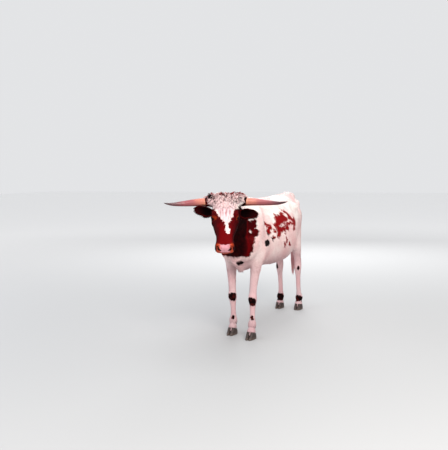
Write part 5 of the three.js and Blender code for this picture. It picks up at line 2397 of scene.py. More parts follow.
def tufts(
    points: Array,
    normals: Array,
    way: Array,
    size: tuple[Array, Array, Array],
    rng: np.random.Generator,
) -> Locks:
    """Lay short tufts down from their roots.

    Args:
        points: The roots.
        normals: The skin's outward directions there.
        way: The directions in which the hair lies.
        size: Each tuft's length, half width and lift at its tip.
        rng: The seeded generator.

    Returns:
        The tufts' lines and sizes.
    """
    count = len(points)
    turn = rng.normal(0, 0.2, count)[:, None]
    way = unit(way + turn * np.cross(normals, way))
    length, wide, lift = size
    length = length * rng.uniform(0.7, 1.25, count)
    wide = wide * rng.uniform(0.75, 1.25, count)
    lift = lift * rng.uniform(0.4, 1.3, count)
    reach = np.array([0.0, 0.5, 1.0])[None, :, None]
    rise = np.stack([np.full(count, -0.5), 0.65 * lift, lift], axis=1)
    line = points[:, None] + way[:, None] * length[:, None, None] * reach
    line = line + normals[:, None] * rise[:, :, None]
    side = np.repeat(np.cross(normals, way)[:, None], 3, axis=1)
    up = np.repeat(normals[:, None], 3, axis=1)
    width = wide[:, None] * np.array([0.8, 1.0, 0.05])
    thick = np.minimum(0.42 * width, 0.45)
    return Locks(line, side, up, width, thick, points, np.zeros((count, 2)))


@dataclass
class Coat:
    """The short hair: thin overlapping tufts that follow the lie of the coat."""

    bed: Bed
    blade: Blade = Blade(3, 3)
    limit: int = 19000
    # on torso, neck, head and legs
    tufts_per_mm2: tuple = (0.0225, 0.026, 0.055, 0.036)

    @staticmethod
    def size(points: Array) -> tuple[Array, Array, Array]:
        """Return each tuft's length, half width and lift at its tip.

        Args:
            points: The hairs' roots.

        Returns:
            The three sizes in millimetres, a number for each tuft.
        """
        x, y, z = points.T
        down, _, out = HEAD.local(points)
        region = region_of(points)
        length = np.full(len(points), 15.0)
        wide = np.full(len(points), 1.15)
        lift = np.full(len(points), 1.7)
        belly = smooth(z, 700, 620) * (region == Region.TORSO)
        length += 9 * belly
        lift += 1.6 * belly
        lap = (np.abs(x) < 40) & (y < -600) & (z < 960)
        length += 8 * lap
        leg = region == Region.LEG
        length = np.where(leg, lerp(8.5, 13, smooth(z, 300, 560)), length)
        wide = np.where(leg, 0.8, wide)
        lift = np.where(leg, 1.2, lift)
        length += 8 * bell(z, 112, 22) * leg
        face = (region == Region.HEAD) * smooth(down, 20, 90)
        curls = smooth(down, 230, 70) * smooth(out, 20, 50)
        short = lerp(lerp(7.5, 5.0, smooth(down, 300, 420)), 19, curls)
        length = length * (1 - face) + face * short
        wide = wide * (1 - face) + face * lerp(0.55, 0.8, curls)
        lift = lift * (1 - face) + face * lerp(0.4, 2.4, curls)
        return length, wide, lift

    def density(self, points: Array) -> Array:
        """Return how many tufts stand on a square millimetre.

        Args:
            points: Points of the drawing frame.

        Returns:
            A number for each point.
        """
        region = region_of(points)
        feet = (region == Region.LEG) * smooth(points[:, 2], 200, 120)
        rate = np.array(self.tufts_per_mm2)[region] * (1 + 0.6 * feet)
        return rate * (bare(points) < 0.4) * ~hidden(points)

    def build(self) -> list[Piece]:
        """Return the coat's pieces, one or more for each region.

        Returns:
            The pieces.
        """
        points, normals, rng = self.bed.draw(self.density, 5)
        region, leg = region_of(points), nearest_leg(points)
        pieces = []
        groups = [(r.name.lower(), r, region == r) for r in list(Region)[: Region.LEG]]
        for k, one in enumerate(LEGS):
            on_leg = (region == Region.LEG) & (leg == k)
            groups.append((f"{one.name}_leg", Region.LEG, on_leg))
        for name, part, chosen in groups:
            pieces += self.pieces(name, part, points[chosen], normals[chosen], rng)
        return pieces

    def pieces(
        self,
        name: str,
        region: Region,
        points: Array,
        normals: Array,
        rng: np.random.Generator,
    ) -> list[Piece]:
        """Return a region's coat in pieces of a moderate size, split along the region.

        Args:
            name: The region's name, to which each piece's is added.
            region: Where they all lie.
            points: The hairs' roots.
            normals: The skin's outward directions there.
            rng: The seeded generator.

        Returns:
            The pieces.
        """
        patch = unwrap(points, region)
        order = np.argsort(patch[:, 1], kind="stable")
        parts = max(1, math.ceil(len(points) / self.limit))
        made = []
        for k, chosen in enumerate(np.array_split(order, parts)):
            roots, out = points[chosen], normals[chosen]
            locks = tufts(roots, out, lie(roots, out), self.size(roots), rng)
            locks.patch = patch[chosen]
            made.append(locks.mesh(f"{name}_coat_{k + 1}", self.blade))
        return made


# Long hair


@dataclass
class Clump:
    """Long hair in clumps: a few strands wound round one path and drawn together at its tip."""

    strands: int = 8
    stations: int = 10
    half: float = 1.35
    spread: float = 9.0
    twist: float = 2.2

    def locks(
        self,
        paths: Array,
        side: Array,
        up: Array,
        roots: Array,
        rng: np.random.Generator,
    ) -> Locks:
        """Wind strands round each path.

        Args:
            paths: Each clump's path, station by station.
            side: Directions across each path.
            up: Directions out of the surface along each path.
            roots: Where each clump grows.
            rng: The seeded generator.

        Returns:
            The strands' lines and sizes.
        """
        count, steps = paths.shape[:2]
        each = self.strands
        t = np.linspace(0, 1, steps)
        paths, side, up = (np.repeat(v, each, axis=0) for v in (paths, side, up))
        total = count * each
        angle = rng.uniform(0, 2 * math.pi, total)[:, None] + self.twist * t * math.pi
        angle = angle + rng.normal(0, 0.25, total)[:, None] * t
        wide = self.spread * rng.uniform(0.35, 1.0, total)[:, None]
        gather = np.interp(t, [0, 0.3, 0.75, 1], [0.9, 1.0, 0.6, 0.22])
        off = wide * gather
        line = paths + (np.cos(angle) * off)[:, :, None] * side
        line = line + (0.55 * np.sin(angle) * off)[:, :, None] * up
        short = rng.uniform(0.8, 1.0, total)[:, None, None]
        line = line[:, :1] + (line - line[:, :1]) * short
        taper = np.interp(t, [0, 0.15, 0.6, 1], [0.7, 1.0, 0.85, 0.08])
        width = self.half * taper * rng.uniform(0.7, 1.25, total)[:, None]
        origin = np.repeat(roots, each, axis=0) + rng.normal(0, 3.0, (total, 3))
        return Locks(line, side, up, width, width * 0.8, origin, np.zeros((total, 2)))


@dataclass
class Forelock:
    """The curly tuft of the poll, which falls down the forehead and over the horns' roots."""

    skin: Skin
    bed: Bed
    clump: Clump = field(default_factory=lambda: Clump(9, 11, 1.5, 11.0, 1.6))

    @staticmethod
    def density(points: Array) -> Array:
        """Return clumps per square millimetre: dense on the poll, sparser down the forehead.

        Args:
            points: Points of the drawing frame.

        Returns:
            A number for each point.
        """
        down, across, out = HEAD.local(points)
        off = np.abs(across)
        near = smooth(off, 154, 140) * smooth(down, -84, -66)
        ending = smooth(down, 150 - 1.05 * off, 60 - 0.75 * off)
        top = (out > -34) & (points[:, 1] < -860)
        return 0.0052 * near * ending * top

    def build(self) -> Piece:
        """Return the forelock as one coat piece.

        Returns:
            The piece.
        """
        points, normals, rng = self.bed.draw(self.density, 21)
        count, steps = len(points), self.clump.stations
        down, across, _ = HEAD.local(points)
        fan = across / 150 * 1.05 + rng.normal(0, 0.32, count)
        back = np.where(down < -42, -0.5, 1.0)
        way = np.cos(fan)[:, None] * back[:, None] * HEAD.along + np.sin(fan)[:, None] * HEAD.side
        off = np.abs(across)
        length = rng.uniform(52, 98, count) * lerp(1.0, 0.66, smooth(down, 10, 90))
        length = length * lerp(1.0, 0.72, smooth(off, 80, 150))
        puff = lerp(7.0, 34.0, smooth(down, 46, -14)) * rng.uniform(0.55, 1.1, count)
        puff = puff * (1 + 0.25 * smooth(down, -14, -34))
        puff = puff * smooth(off, 168, 88)
        phase, turns = rng.uniform(0, 6.28, count), rng.uniform(0.8, 1.8, count)
        bow = rng.uniform(0.4, 1.0, count)
        line = np.zeros((count, steps, 3))
        side, up = np.zeros_like(line), np.zeros_like(line)
        here, normal = points.copy(), normals
        for k in range(steps):
            t = k / (steps - 1)
            flat = unit(way - dots(way, normal)[:, None] * normal)
            across_way = np.cross(normal, flat)
            curl = bow * np.cos(phase + t * turns * 2 * math.pi)
            line[:, k], side[:, k], up[:, k] = here, across_way, normal
            step = unit(flat + curl[:, None] * across_way) * (length / (steps - 1))[:, None]
            here = here + step
            lift = puff * math.sin(math.pi * min((k + 1) / (steps - 1) * 0.88, 1)) + 1.5
            gap, normal = self.skin.slope(here)
            here = here + (lift - gap)[:, None] * normal
        locks = self.clump.locks(line, side, up, points, rng)
        down, across, _ = HEAD.local(locks.root)
        locks.patch = inset((across + 160).clip(0, 320) / 320, (down + 90).clip(0, 180) / 180)
        return locks.mesh("poll_locks", Blade(4, steps))


@dataclass
class Switch:
    """The long hair at the tail's end, and the shorter hair down its dock."""

    dock: Dock
    bed: Bed
    clump: Clump = field(default_factory=lambda: Clump(10, 13, 1.5, 9.0, 1.2))

    def locks(self) -> Piece:
        """Return the switch as one coat piece.

        Returns:
            The piece.
        """
        rng = np.random.default_rng(31)
        count, steps = 64, self.clump.stations
        t = rng.uniform(0.74, 0.99, count)
        course = self.dock.course()
        point, _, side, up = course.sample(t)
        angle = np.arange(count) * 2.4
        out = np.cos(angle)[:, None] * side + np.sin(angle)[:, None] * up
        start = point + out * (self.dock.radius(t) - 4)[:, None]
        end = 322 + rng.uniform(0, 120, count)
        reach = start[:, 2] - end
        flare = rng.uniform(4, 15, count) * smooth(t, 0.7, 0.9)
        share = np.linspace(0, 1, steps)
        bulge = flare[:, None] * np.sin(math.pi * np.minimum(share * 0.84 + 0.08, 1))
        wave = 4.0 * np.sin(share * 9 + rng.uniform(0, 6, count)[:, None]) * share
        line = start[:, None] + out[:, None] * bulge[:, :, None]
        line = line - reach[:, None, None] * share[None, :, None] * UP
        tangent = np.cross(out, UP)
        line = line + tangent[:, None] * wave[:, :, None]
        middle = TAIL_LINE[-1] * spot(1, 1, 0)
        pull = (share**2 * 0.35)[None, :, None] * spot(1, 1, 0)
        line = line + (middle - line) * pull
        sides = np.repeat(tangent[:, None], steps, axis=1)
        ups = np.repeat(out[:, None], steps, axis=1)
        locks = self.clump.locks(line, sides, ups, start, rng)
        turn = np.repeat(angle / (2 * math.pi) % 1, self.clump.strands)
        locks.patch = inset(turn, rng.uniform(0, 1, len(turn)))
        return locks.mesh("tail_switch", Blade(4, steps))

    def short(self) -> Piece:
        """Return the dock's own hair.

        Returns:
            The piece.
        """
        points, normals, rng = self.bed.draw(lambda m: np.full(len(m), 0.04), 37)
        way = np.tile(spot(0, 0.12, -1), (len(points), 1))
        way = np.where(points[:, 2:] > 1195, spot(0, 1, -0.35), way)
        way = unit(way - dots(way, normals)[:, None] * normals)
        size = (np.full(len(points), 22.0), np.full(len(points), 1.0), np.full(len(points), 2.6))
        locks = tufts(points, normals, way, size, rng)
        locks.patch = unwrap(points, Region.TAIL)
        return locks.mesh("tail_coat", Blade(3, 3))


@dataclass
class Fringe:
    """An ear's hair: a fringe along its edges and short hair on its back."""

    ear: Ear
    bed: Bed

    def build(self) -> Piece:
        """Return the ear's hair as one coat piece.

        Returns:
            The piece.
        """
        rng = np.random.default_rng(41 + self.ear.side)
        axes = self.ear.axes()
        count = 900
        t = rng.uniform(0.1, 0.995, count)
        edge = np.where(rng.random(count) < 0.5, -1.0, 1.0)
        share = edge * rng.uniform(0.86, 1.0, count)
        roots = self.ear.surface(share, t, rng.random(count) < 0.5)
        normals = np.tile(axes.side, (count, 1))
        way = edge[:, None] * axes.up * (1 - 0.7 * t[:, None]) + (0.5 + t[:, None]) * axes.along
        way = unit(way + 0.35 * axes.side - 0.25 * UP)
        size = (
            rng.uniform(10, 24, count) * (1 - 0.35 * t),
            np.full(count, 0.7),
            np.full(count, 2.0),
        )
        rim = tufts(roots, normals, way, size, rng)

        def back(middles: Array) -> Array:
            """Return how many tufts stand on a square millimetre past the ear's root."""
            return 0.05 * (axes.local(middles)[0] > 6)

        points, normal, rng = self.bed.draw(back, 43)
        front = dots(normal, np.tile(axes.side, (len(normal), 1))) > 0.25
        points, normal = points[~front], normal[~front]
        way = unit(axes.along - dots(normal, axes.along[None])[:, None] * normal)
        size = (np.full(len(points), 9.0), np.full(len(points), 0.75), np.full(len(points), 1.2))
        locks = rim.and_more(tufts(points, normal, way, size, rng))
        at, ahead, _ = axes.local(locks.root)
        along, forward = at / self.ear.length, ahead / (2 * self.ear.half) + 0.5
        locks.patch = inset(along.clip(0, 1), forward.clip(0, 1))
        return locks.mesh(sided(self.ear.side, "ear_hair"), Blade(3, 3))


# Markings and finishes


@dataclass(frozen=True)
class Patch:
    """One red mark: an ellipsoid on the body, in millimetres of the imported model."""

    centre: tuple[float, float, float]
    radii: tuple[float, float, float]
    tilt: float = 0.0


WIDE = 150.0
# On the left flank, across y and z: middle, radii, and degrees of tilt
LEFT_MARKS = (
    (-180, 1020, 40, 20, -30),
    (-132, 971, 28, 38, -45),
    (-168, 938, 36, 27, 30),
    (-71, 942, 23, 21, 45),
    (-98, 876, 19, 27, 0),
    (16, 1070, 38, 16, 0),
    (102, 1041, 120, 42, 0),
    (138, 1087, 36, 15, 15),
    (209, 1106, 38, 15, -30),
    (264, 1076, 58, 20, -45),
    (291, 1035, 70, 22, -15),
    (366, 988, 62, 46, 15),
    (326, 928, 46, 27, 0),
    (236, 988, 112, 15, 0),
    (12, 1002, 70, 34, 0),
    (-34, 990, 34, 24, 30),
    (66, 954, 114, 26, 0),
    (153, 964, 54, 26, 0),
    (-6, 912, 38, 46, -30),
    (53, 935, 20, 17, 30),
    (113, 916, 16, 24, -30),
    (180, 938, 24, 19, 30),
    (134, 837, 20, 32, 15),
    (107, 794, 18, 32, 30),
    (112, 762, 20, 11, -30),
    (212, 791, 16, 36, 30),
)
# White holes in the left flank's marks
LEFT_HOLES = (
    (44, 980, 34, 6, 0),
    (232, 952, 38, 18, 0),
    (256, 1012, 26, 11, 0),
)
# On the right flank, which the photograph doesn't show: the same kind of broken patches
RIGHT_MARKS = (
    (-40, 1040, 96, 56, 0),
    (60, 1000, 60, 60, 0),
    (-90, 960, 40, 34, 0),
    (40, 910, 18, 44, 0),
    (130, 1050, 40, 16, -30),
    (190, 1010, 20, 46, 15),
    (250, 940, 40, 22, -15),
    (330, 1030, 52, 46, 0),
    (380, 950, 16, 42, 0),
    (-210, 900, 34, 26, 0),
    (-170, 1020, 14, 34, 15),
    (120, 840, 12, 30, 0),
    (20, 800, 26, 18, 0),
    (-60, 850, 12, 22, 0),
)
# Near-black marks: the shoulder's spot, the brisket's, and those on the legs
DARK_MARKS = (
    Patch((120, -228, 848), (WIDE, 60, 34)),
    Patch((-16, -474, 692), (30, 60, 25)),
    Patch((-138, -352, 352), (60, 34, 44)),
    Patch((60, -402, 334), (60, 36, 42)),
    Patch((-155, 836, 122), (60, 42, 40)),
    Patch((49, 846, 118), (60, 44, 34)),
    Patch((74, 800, 459), (24, 18, 22)),
    Patch((-158, -338, 158), (22, 16, 20)),
    Patch((64, -404, 190), (22, 18, 20)),
    Patch((-172, 800, 470), (20, 22, 36)),
    Patch((84, 842, 216), (20, 16, 16)),
)


def on_face(down: float, across: float, out: float, *radii: float) -> Patch:
    """Return a mark by its place on the head."""
    return Patch(tuple(float(v) for v in on_head(down, across, out) + SHIFT), radii)


# Painted shade in the hollows between the curls of the poll, among a few dark locks
POLL_SHADE_MARKS = (
    on_face(-22, -106, 50, 44, 34, 20),
    on_face(22, 46, 62, 13, 13, 12),
    on_face(-12, 64, 66, 13, 13, 15),
    on_face(-14, 106, 58, 22, 20, 20),
    on_face(14, 10, 76, 9, 9, 14),
)
# The dark rims of the eyes
LID_MARKS = (
    on_face(211, -106, 48, 19, 20, 15),
    on_face(208, 115, 44, 19, 20, 15),
)
# Painted highlights: orange, sunlit hair about the eyes and on the nostrils' wings
GLINT_MARKS = (
    on_face(209, -92, 58, 40, 17, 26),
    on_face(205, 103, 52, 40, 17, 26),
    on_face(462, -58, 36, 24, 24, 22),
    on_face(460, 62, 34, 24, 24, 22),
)
# The neck's red ends behind at this distance, height by height
NECK_EDGE = (
    (740, -478),
    (812, -460),
    (856, -463),
    (900, -453),
    (922, -446),
    (934, -404),
    (980, -393),
    (990, -404),
    (997, -420),
    (1018, -400),
    (1052, -386),
    (1080, -384),
    (1140, -470),
)
# The blaze's half width, from the poll down the face
BLAZE = (
    (-60, 150),
    (20, 150),
    (48, 116),
    (92, 97),
    (141, 79),
    (183, 64),
    (210, 51),
    (243, 34),
    (262, 20),
    (276, 14),
    (308, 14),
    (330, 22),
    (348, 16),
    (362, 12),
    (372, 0),
)


def stored(tree: Tree, name: str) -> Node:
    """Return a node that reads what store() kept on the piece."""
    return add_node(tree, "ShaderNodeAttribute", {}, {"attribute_name": name})


def curve_node(tree: Tree, value: Socket, rows: Sequence) -> Socket:
    """Read a value off a line through rows of places and values.

    Args:
        tree: The node tree.
        value: The place.
        rows: Places in rising order, each with its value.

    Returns:
        The value at the place.
    """
    first, last = rows[0][0], rows[-1][0]
    low, high = (pick(r[1] for r in rows) for pick in (min, max))
    limits = {"Value": value, "From Min": first, "From Max": last}
    share = add_node(tree, "ShaderNodeMapRange", limits).outputs["Result"]
    curve = tree.nodes.new("ShaderNodeFloatCurve")
    line = curve.mapping.curves[0]
    for _ in rows[2:]:
        line.points.new(0.5, 0.5)
    for point, (at, size) in zip(line.points, rows):
        point.location = ((at - first) / (last - first), (size - low) / (high - low))
        point.handle_type = "VECTOR"
    curve.mapping.update()
    tree.links.new(share, curve.inputs["Value"])
    return math_node(tree, "MULTIPLY_ADD", curve.outputs["Value"], high - low, low)


@dataclass
class Markings:
    """The coat's pattern, with its painted shade and highlights, as one node group that skin and
    hair both use.
    """

    group: Tree | None = None

    def build(self) -> Tree:
        """Return the group: a place in, the red and dark shares and the head's places out.

        Returns:
            The group.
        """
        if self.group:
            return self.group
        tree = bpy.data.node_groups.new("markings", "ShaderNodeTree")
        tree.interface.new_socket("Place", in_out="INPUT", socket_type="NodeSocketVector")
        place = tree.nodes.new("NodeGroupInput").outputs["Place"]
        wide = self.warp(tree, place, 46.0, 26.0)
        middling = self.warp(tree, place, 21.0, 20.0)
        fine = self.warp(tree, place, 8.0, 9.0)
        millimetres = vector_node(tree, "MULTIPLY", place, (1000, 1000, 1000))
        frayed = vector_node(tree, "ADD", millimetres, fine)
        torn = vector_node(tree, "ADD", frayed, middling)
        flank = self.flanks(tree, self.streaked(tree, vector_node(tree, "ADD", frayed, wide)))
        down, across, out = self.head(tree, torn)
        coloured = math_node(tree, "MAXIMUM", flank, self.neck(tree, torn))
        white, _ = blaze_share(tree, down, across, out)
        red = math_node(tree, "MULTIPLY", coloured, math_node(tree, "SUBTRACT", 1, white))
        # near-black marks and dark lids, and painted shade in the poll's hollows
        dark = self.nearest(tree, torn, DARK_MARKS + POLL_SHADE_MARKS + LID_MARKS)
        # tones of the red: a painted highlight on a neck fold, and painted shade on cheeks and
        # neck
        bright, deep = self.tones(tree, millimetres)
        on_down, on_across, on_out = self.head(tree, millimetres)
        lay = self.join(tree, on_down, on_across, on_out)
        combed = vector_node(tree, "MULTIPLY", lay, (1.4e-4, 1e-3, 1e-3))
        height = add_node(tree, "ShaderNodeSeparateXYZ", {0: millimetres}).outputs["Z"]
        _, inner = blaze_share(tree, on_down, on_across, on_out)
        brow = ramp(tree, on_down, 300, 180)
        curls = math_node(tree, "MULTIPLY", brow, ramp(tree, on_out, 20, 44))
        outputs = {
            "Red": red,
            "Dark": dark,
            # painted highlights of orange, sunlit hair
            "Thin": self.nearest(tree, frayed, GLINT_MARKS, 0.2),
            "Bright": bright,
            "Deep": deep,
            "Curls": curls,
            "Front": inner,
            "Crest": ramp(tree, on_down, -24, -42),
            "Down": on_down,
            "Across": on_across,
            "Out": on_out,
            "Combed": combed,
            "Height": height,
            "Low": ramp(tree, height, 520, 420),
        }
        for name in outputs:
            kind = "NodeSocketVector" if name == "Combed" else "NodeSocketFloat"
            tree.interface.new_socket(name, in_out="OUTPUT", socket_type=kind)
        result = tree.nodes.new("NodeGroupOutput")
        for name, value in outputs.items():
            tree.links.new(value, result.inputs[name])
        self.group = tree
        return tree

    @staticmethod
    def join(tree: Tree, *parts: Socket) -> Socket:
        """Return a vector of three numbers."""
        return add_node(tree, "ShaderNodeCombineXYZ", dict(enumerate(parts))).outputs[0]

    @staticmethod
    def warp(tree: Tree, place: Socket, size: float, reach: float) -> Socket:
        """Return a random shift in millimetres, which makes straight edges ragged.

        Args:
            tree: The node tree.
            place: The place's output.
            size: How wide the shift's waves are, in millimetres.
            reach: The farthest shift.

        Returns:
            The shift's output.
        """
        cloud = noise(tree, place, size, 3.0, colour=True)
        centred = vector_node(tree, "SUBTRACT", cloud, (0.5, 0.5, 0.5))
        return vector_node(tree, "MULTIPLY", centred, (reach * 2, reach * 2, reach * 2))

    @staticmethod
    def streaked(tree: Tree, place: Socket) -> Socket:
        """Pull places along the hair's slant, which draws a mark's ends out to points.

        Args:
            tree: The node tree.
            place: The place's output.

        Returns:
            The shifted place's output.
        """
        along = vector_node(tree, "DOT_PRODUCT", place, (0, 1.8e-4, -1.8e-4))
        over = vector_node(tree, "DOT_PRODUCT", place, (0, 7e-4, 7e-4))
        cloud = noise(tree, Markings.join(tree, along, over), 11.0, 2.0)
        pull = math_node(tree, "MULTIPLY_ADD", cloud, 110.0, -55.0)
        return vector_node(tree, "MULTIPLY_ADD", pull, (0, 0.7, -0.7), place)

    @staticmethod
    def nearest(tree: Tree, place: Socket, marks: Iterable[Patch], core: float = 0.94) -> Socket:
        """Return 1 inside any of the marks and 0 outside, with an edge that ends at its core.

        Args:
            tree: The node tree.
            place: The place's output.
            marks: The marks.
            core: The share of a mark's radius from which it is full.

        Returns:
            The share's output.
        """
        best: float | Socket = 9.0
        turned: dict[float, Socket] = {}
        for mark in marks:
            tilt = math.radians(mark.tilt)
            cosine, sine = math.cos(tilt), math.sin(tilt)
            rows = ((1, 0, 0), (0, cosine, sine), (0, -sine, cosine))
            if mark.tilt not in turned:
                parts = (vector_node(tree, "DOT_PRODUCT", place, row) for row in rows)
                turned[mark.tilt] = Markings.join(tree, *parts) if mark.tilt else place
            scale = 1 / np.array(mark.radii)
            start = -(np.array(rows) @ mark.centre) * scale
            away = vector_node(
                tree, "MULTIPLY_ADD", turned[mark.tilt], tuple(scale), tuple(start)
            )
            best = math_node(tree, "MINIMUM", best, vector_node(tree, "LENGTH", away))
        return ramp(tree, best, 1.06, core)

    def flanks(self, tree: Tree, place: Socket) -> Socket:
        """Return the share of red on the two flanks, broken by small white holes.

        Args:
            tree: The node tree.
            place: The place's output.

        Returns:
            The share's output.
        """

        def marks(side: int, rows: Sequence) -> list[Patch]:
            """Return a flank's marks."""
            x = side * 190 - 55
            return [Patch((x, y, z), (WIDE, a, b), tilt) for y, z, a, b, tilt in rows]

        red = self.nearest(tree, place, marks(1, LEFT_MARKS) + marks(-1, RIGHT_MARKS))
        holes = self.nearest(tree, place, marks(1, LEFT_HOLES))
        return math_node(tree, "MULTIPLY", red, math_node(tree, "SUBTRACT", 1, holes))

    @staticmethod
    def neck(tree: Tree, place: Socket) -> Socket:
        """Return the share of red on head and neck, which ends behind in a ragged edge.

        Args:
            tree: The node tree.
            place: The place's output.

        Returns:
            The share's output.
        """
        parts = add_node(tree, "ShaderNodeSeparateXYZ", {0: place})
        y, z = parts.outputs["Y"], parts.outputs["Z"]
        edge = curve_node(tree, z, NECK_EDGE)
        back = ramp(tree, math_node(tree, "SUBTRACT", y, edge), 3, -3)
        low = ramp(tree, z, 748, 754)
        ahead = math_node(tree, "MAXIMUM", math_node(tree, "SUBTRACT", -470, y), 0)
        crest = math_node(tree, "MULTIPLY_ADD", ahead, 1.6, 1074)
        top = ramp(tree, math_node(tree, "SUBTRACT", z, crest), 3, -3)
        both = math_node(tree, "MULTIPLY", math_node(tree, "MULTIPLY", back, low), top)
        notch = Markings.nearest(tree, place, (Patch((90, -463, 974), (60, 9, 12), -30),))
        return math_node(tree, "MULTIPLY", both, math_node(tree, "SUBTRACT", 1, notch))

    def tones(self, tree: Tree, place: Socket) -> tuple[Socket, Socket]:
        """Return how bright and how deep the red is: bright down the nose and in a painted
        highlight on a neck fold; deep in painted shade on the cheeks, and in darker hair with
        painted shade on the neck.

        Args:
            tree: The node tree.
            place: The place's output.

        Returns:
            The outputs of both shares.
        """
        down, across, out = self.head(tree, place)
        y = add_node(tree, "ShaderNodeSeparateXYZ", {0: place}).outputs["Y"]
        off = math_node(tree, "ABSOLUTE", math_node(tree, "SUBTRACT", across, 8))
        nose = math_node(tree, "MULTIPLY", ramp(tree, down, 236, 330), ramp(tree, off, 66, 36))
        at_head = ramp(tree, y, -560, -620)
        # painted shade: darker red on the sides and underside of the face
        cheek = math_node(tree, "MULTIPLY", ramp(tree, out, 46, 2), ramp(tree, down, 30, 80))
        cheek = math_node(tree, "MULTIPLY", cheek, at_head)
        # the neck's darker red: darker hair, with painted shade under the head
        neck = math_node(tree, "MULTIPLY", ramp(tree, y, -484, -506), ramp(tree, y, -760, -640))
        # a painted highlight: a lighter stripe along a fold of the neck
        stripe = math_node(tree, "MULTIPLY", ramp(tree, y, -474, -486), ramp(tree, y, -498, -486))
        front = math_node(tree, "MULTIPLY", nose, at_head)
        bright = math_node(tree, "MAXIMUM", front, math_node(tree, "MULTIPLY", stripe, 0.9))
        return bright, math_node(tree, "MAXIMUM", cheek, neck)

    @staticmethod
    def head(tree: Tree, place: Socket) -> tuple[Socket, Socket, Socket]:
        """Return how far down, across and out on the head a place is.

        Args:
            tree: The node tree.
            place: The place's output.

        Returns:
            The three distances' outputs, in millimetres.
        """
        away = vector_node(tree, "SUBTRACT", place, tuple(POLL + SHIFT))
        ways = (HEAD.along, HEAD.side, HEAD.up)
        return tuple(vector_node(tree, "DOT_PRODUCT", away, tuple(way)) for way in ways)


def blaze_share(tree: Tree, down: Socket, across: Socket, out: Socket) -> tuple[Socket, Socket]:
    """Return 1 on the white blaze and poll and 0 elsewhere, and 1 within a whiter rim.

    Args:
        tree: The node tree.
        down: The place down the head, as an output.
        across: The place across it.
        out: The place out of it.

    Returns:
        The outputs of both shares.
    """
    half = curve_node(tree, down, BLAZE)
    middle = math_node(tree, "MULTIPLY_ADD", ramp(tree, down, 130, 390), 26, 1)
    off = math_node(tree, "ABSOLUTE", math_node(tree, "SUBTRACT", across, middle))
    past = math_node(tree, "SUBTRACT", off, half)
    inside = ramp(tree, past, 2, -2)
    front = ramp(tree, out, -14, 8)
    end = ramp(tree, down, 371, 367)
    behind = ramp(tree, down, -40, -30)
    both = math_node(tree, "MULTIPLY", math_node(tree, "MULTIPLY", inside, front), end)
    inner = math_node(tree, "MULTIPLY", ramp(tree, past, -8, -24), front)
    return math_node(tree, "MULTIPLY", both, behind), inner


@dataclass(frozen=True)
class CoatColours:
    """The hair's colours."""

    white: str = "#FBF4EF"
    # blush: a random flush, and painted shade low on the flank
    blush: str = "#EBBABA"
    # shade: random freckles, and painted shade under the belly
    shade: str = "#C896A0"
    # dust: dust, and painted shade on the lower legs
    dust: str = "#B79AA0"
    rosy: str = "#E0C8CC"
    # mauve: painted shade in the partings between locks
    mauve: str = "#B07C80"
    red: str = "#470307"
    # bright: brighter red down the nose, and a painted highlight along a neck fold
    bright: str = "#6C0206"
    crest: str = "#8A0E12"
    # deep: near-black red for painted shade on cheeks and neck, darker neck hair, and the lips by
    # the mouth's corners
    deep: str = "#160203"
    # black: near-black marks and lids, and painted shade in the poll's hollows
    black: str = "#120506"
    umber: str = "#43120F"
    # orange: painted highlights of sunlit hair by the eyes and nostrils
    orange: str = "#A83A1A"
    nose: str = "#CB9099"
    lip: str = "#B24A33"
    slate: str = "#1E0D0C"


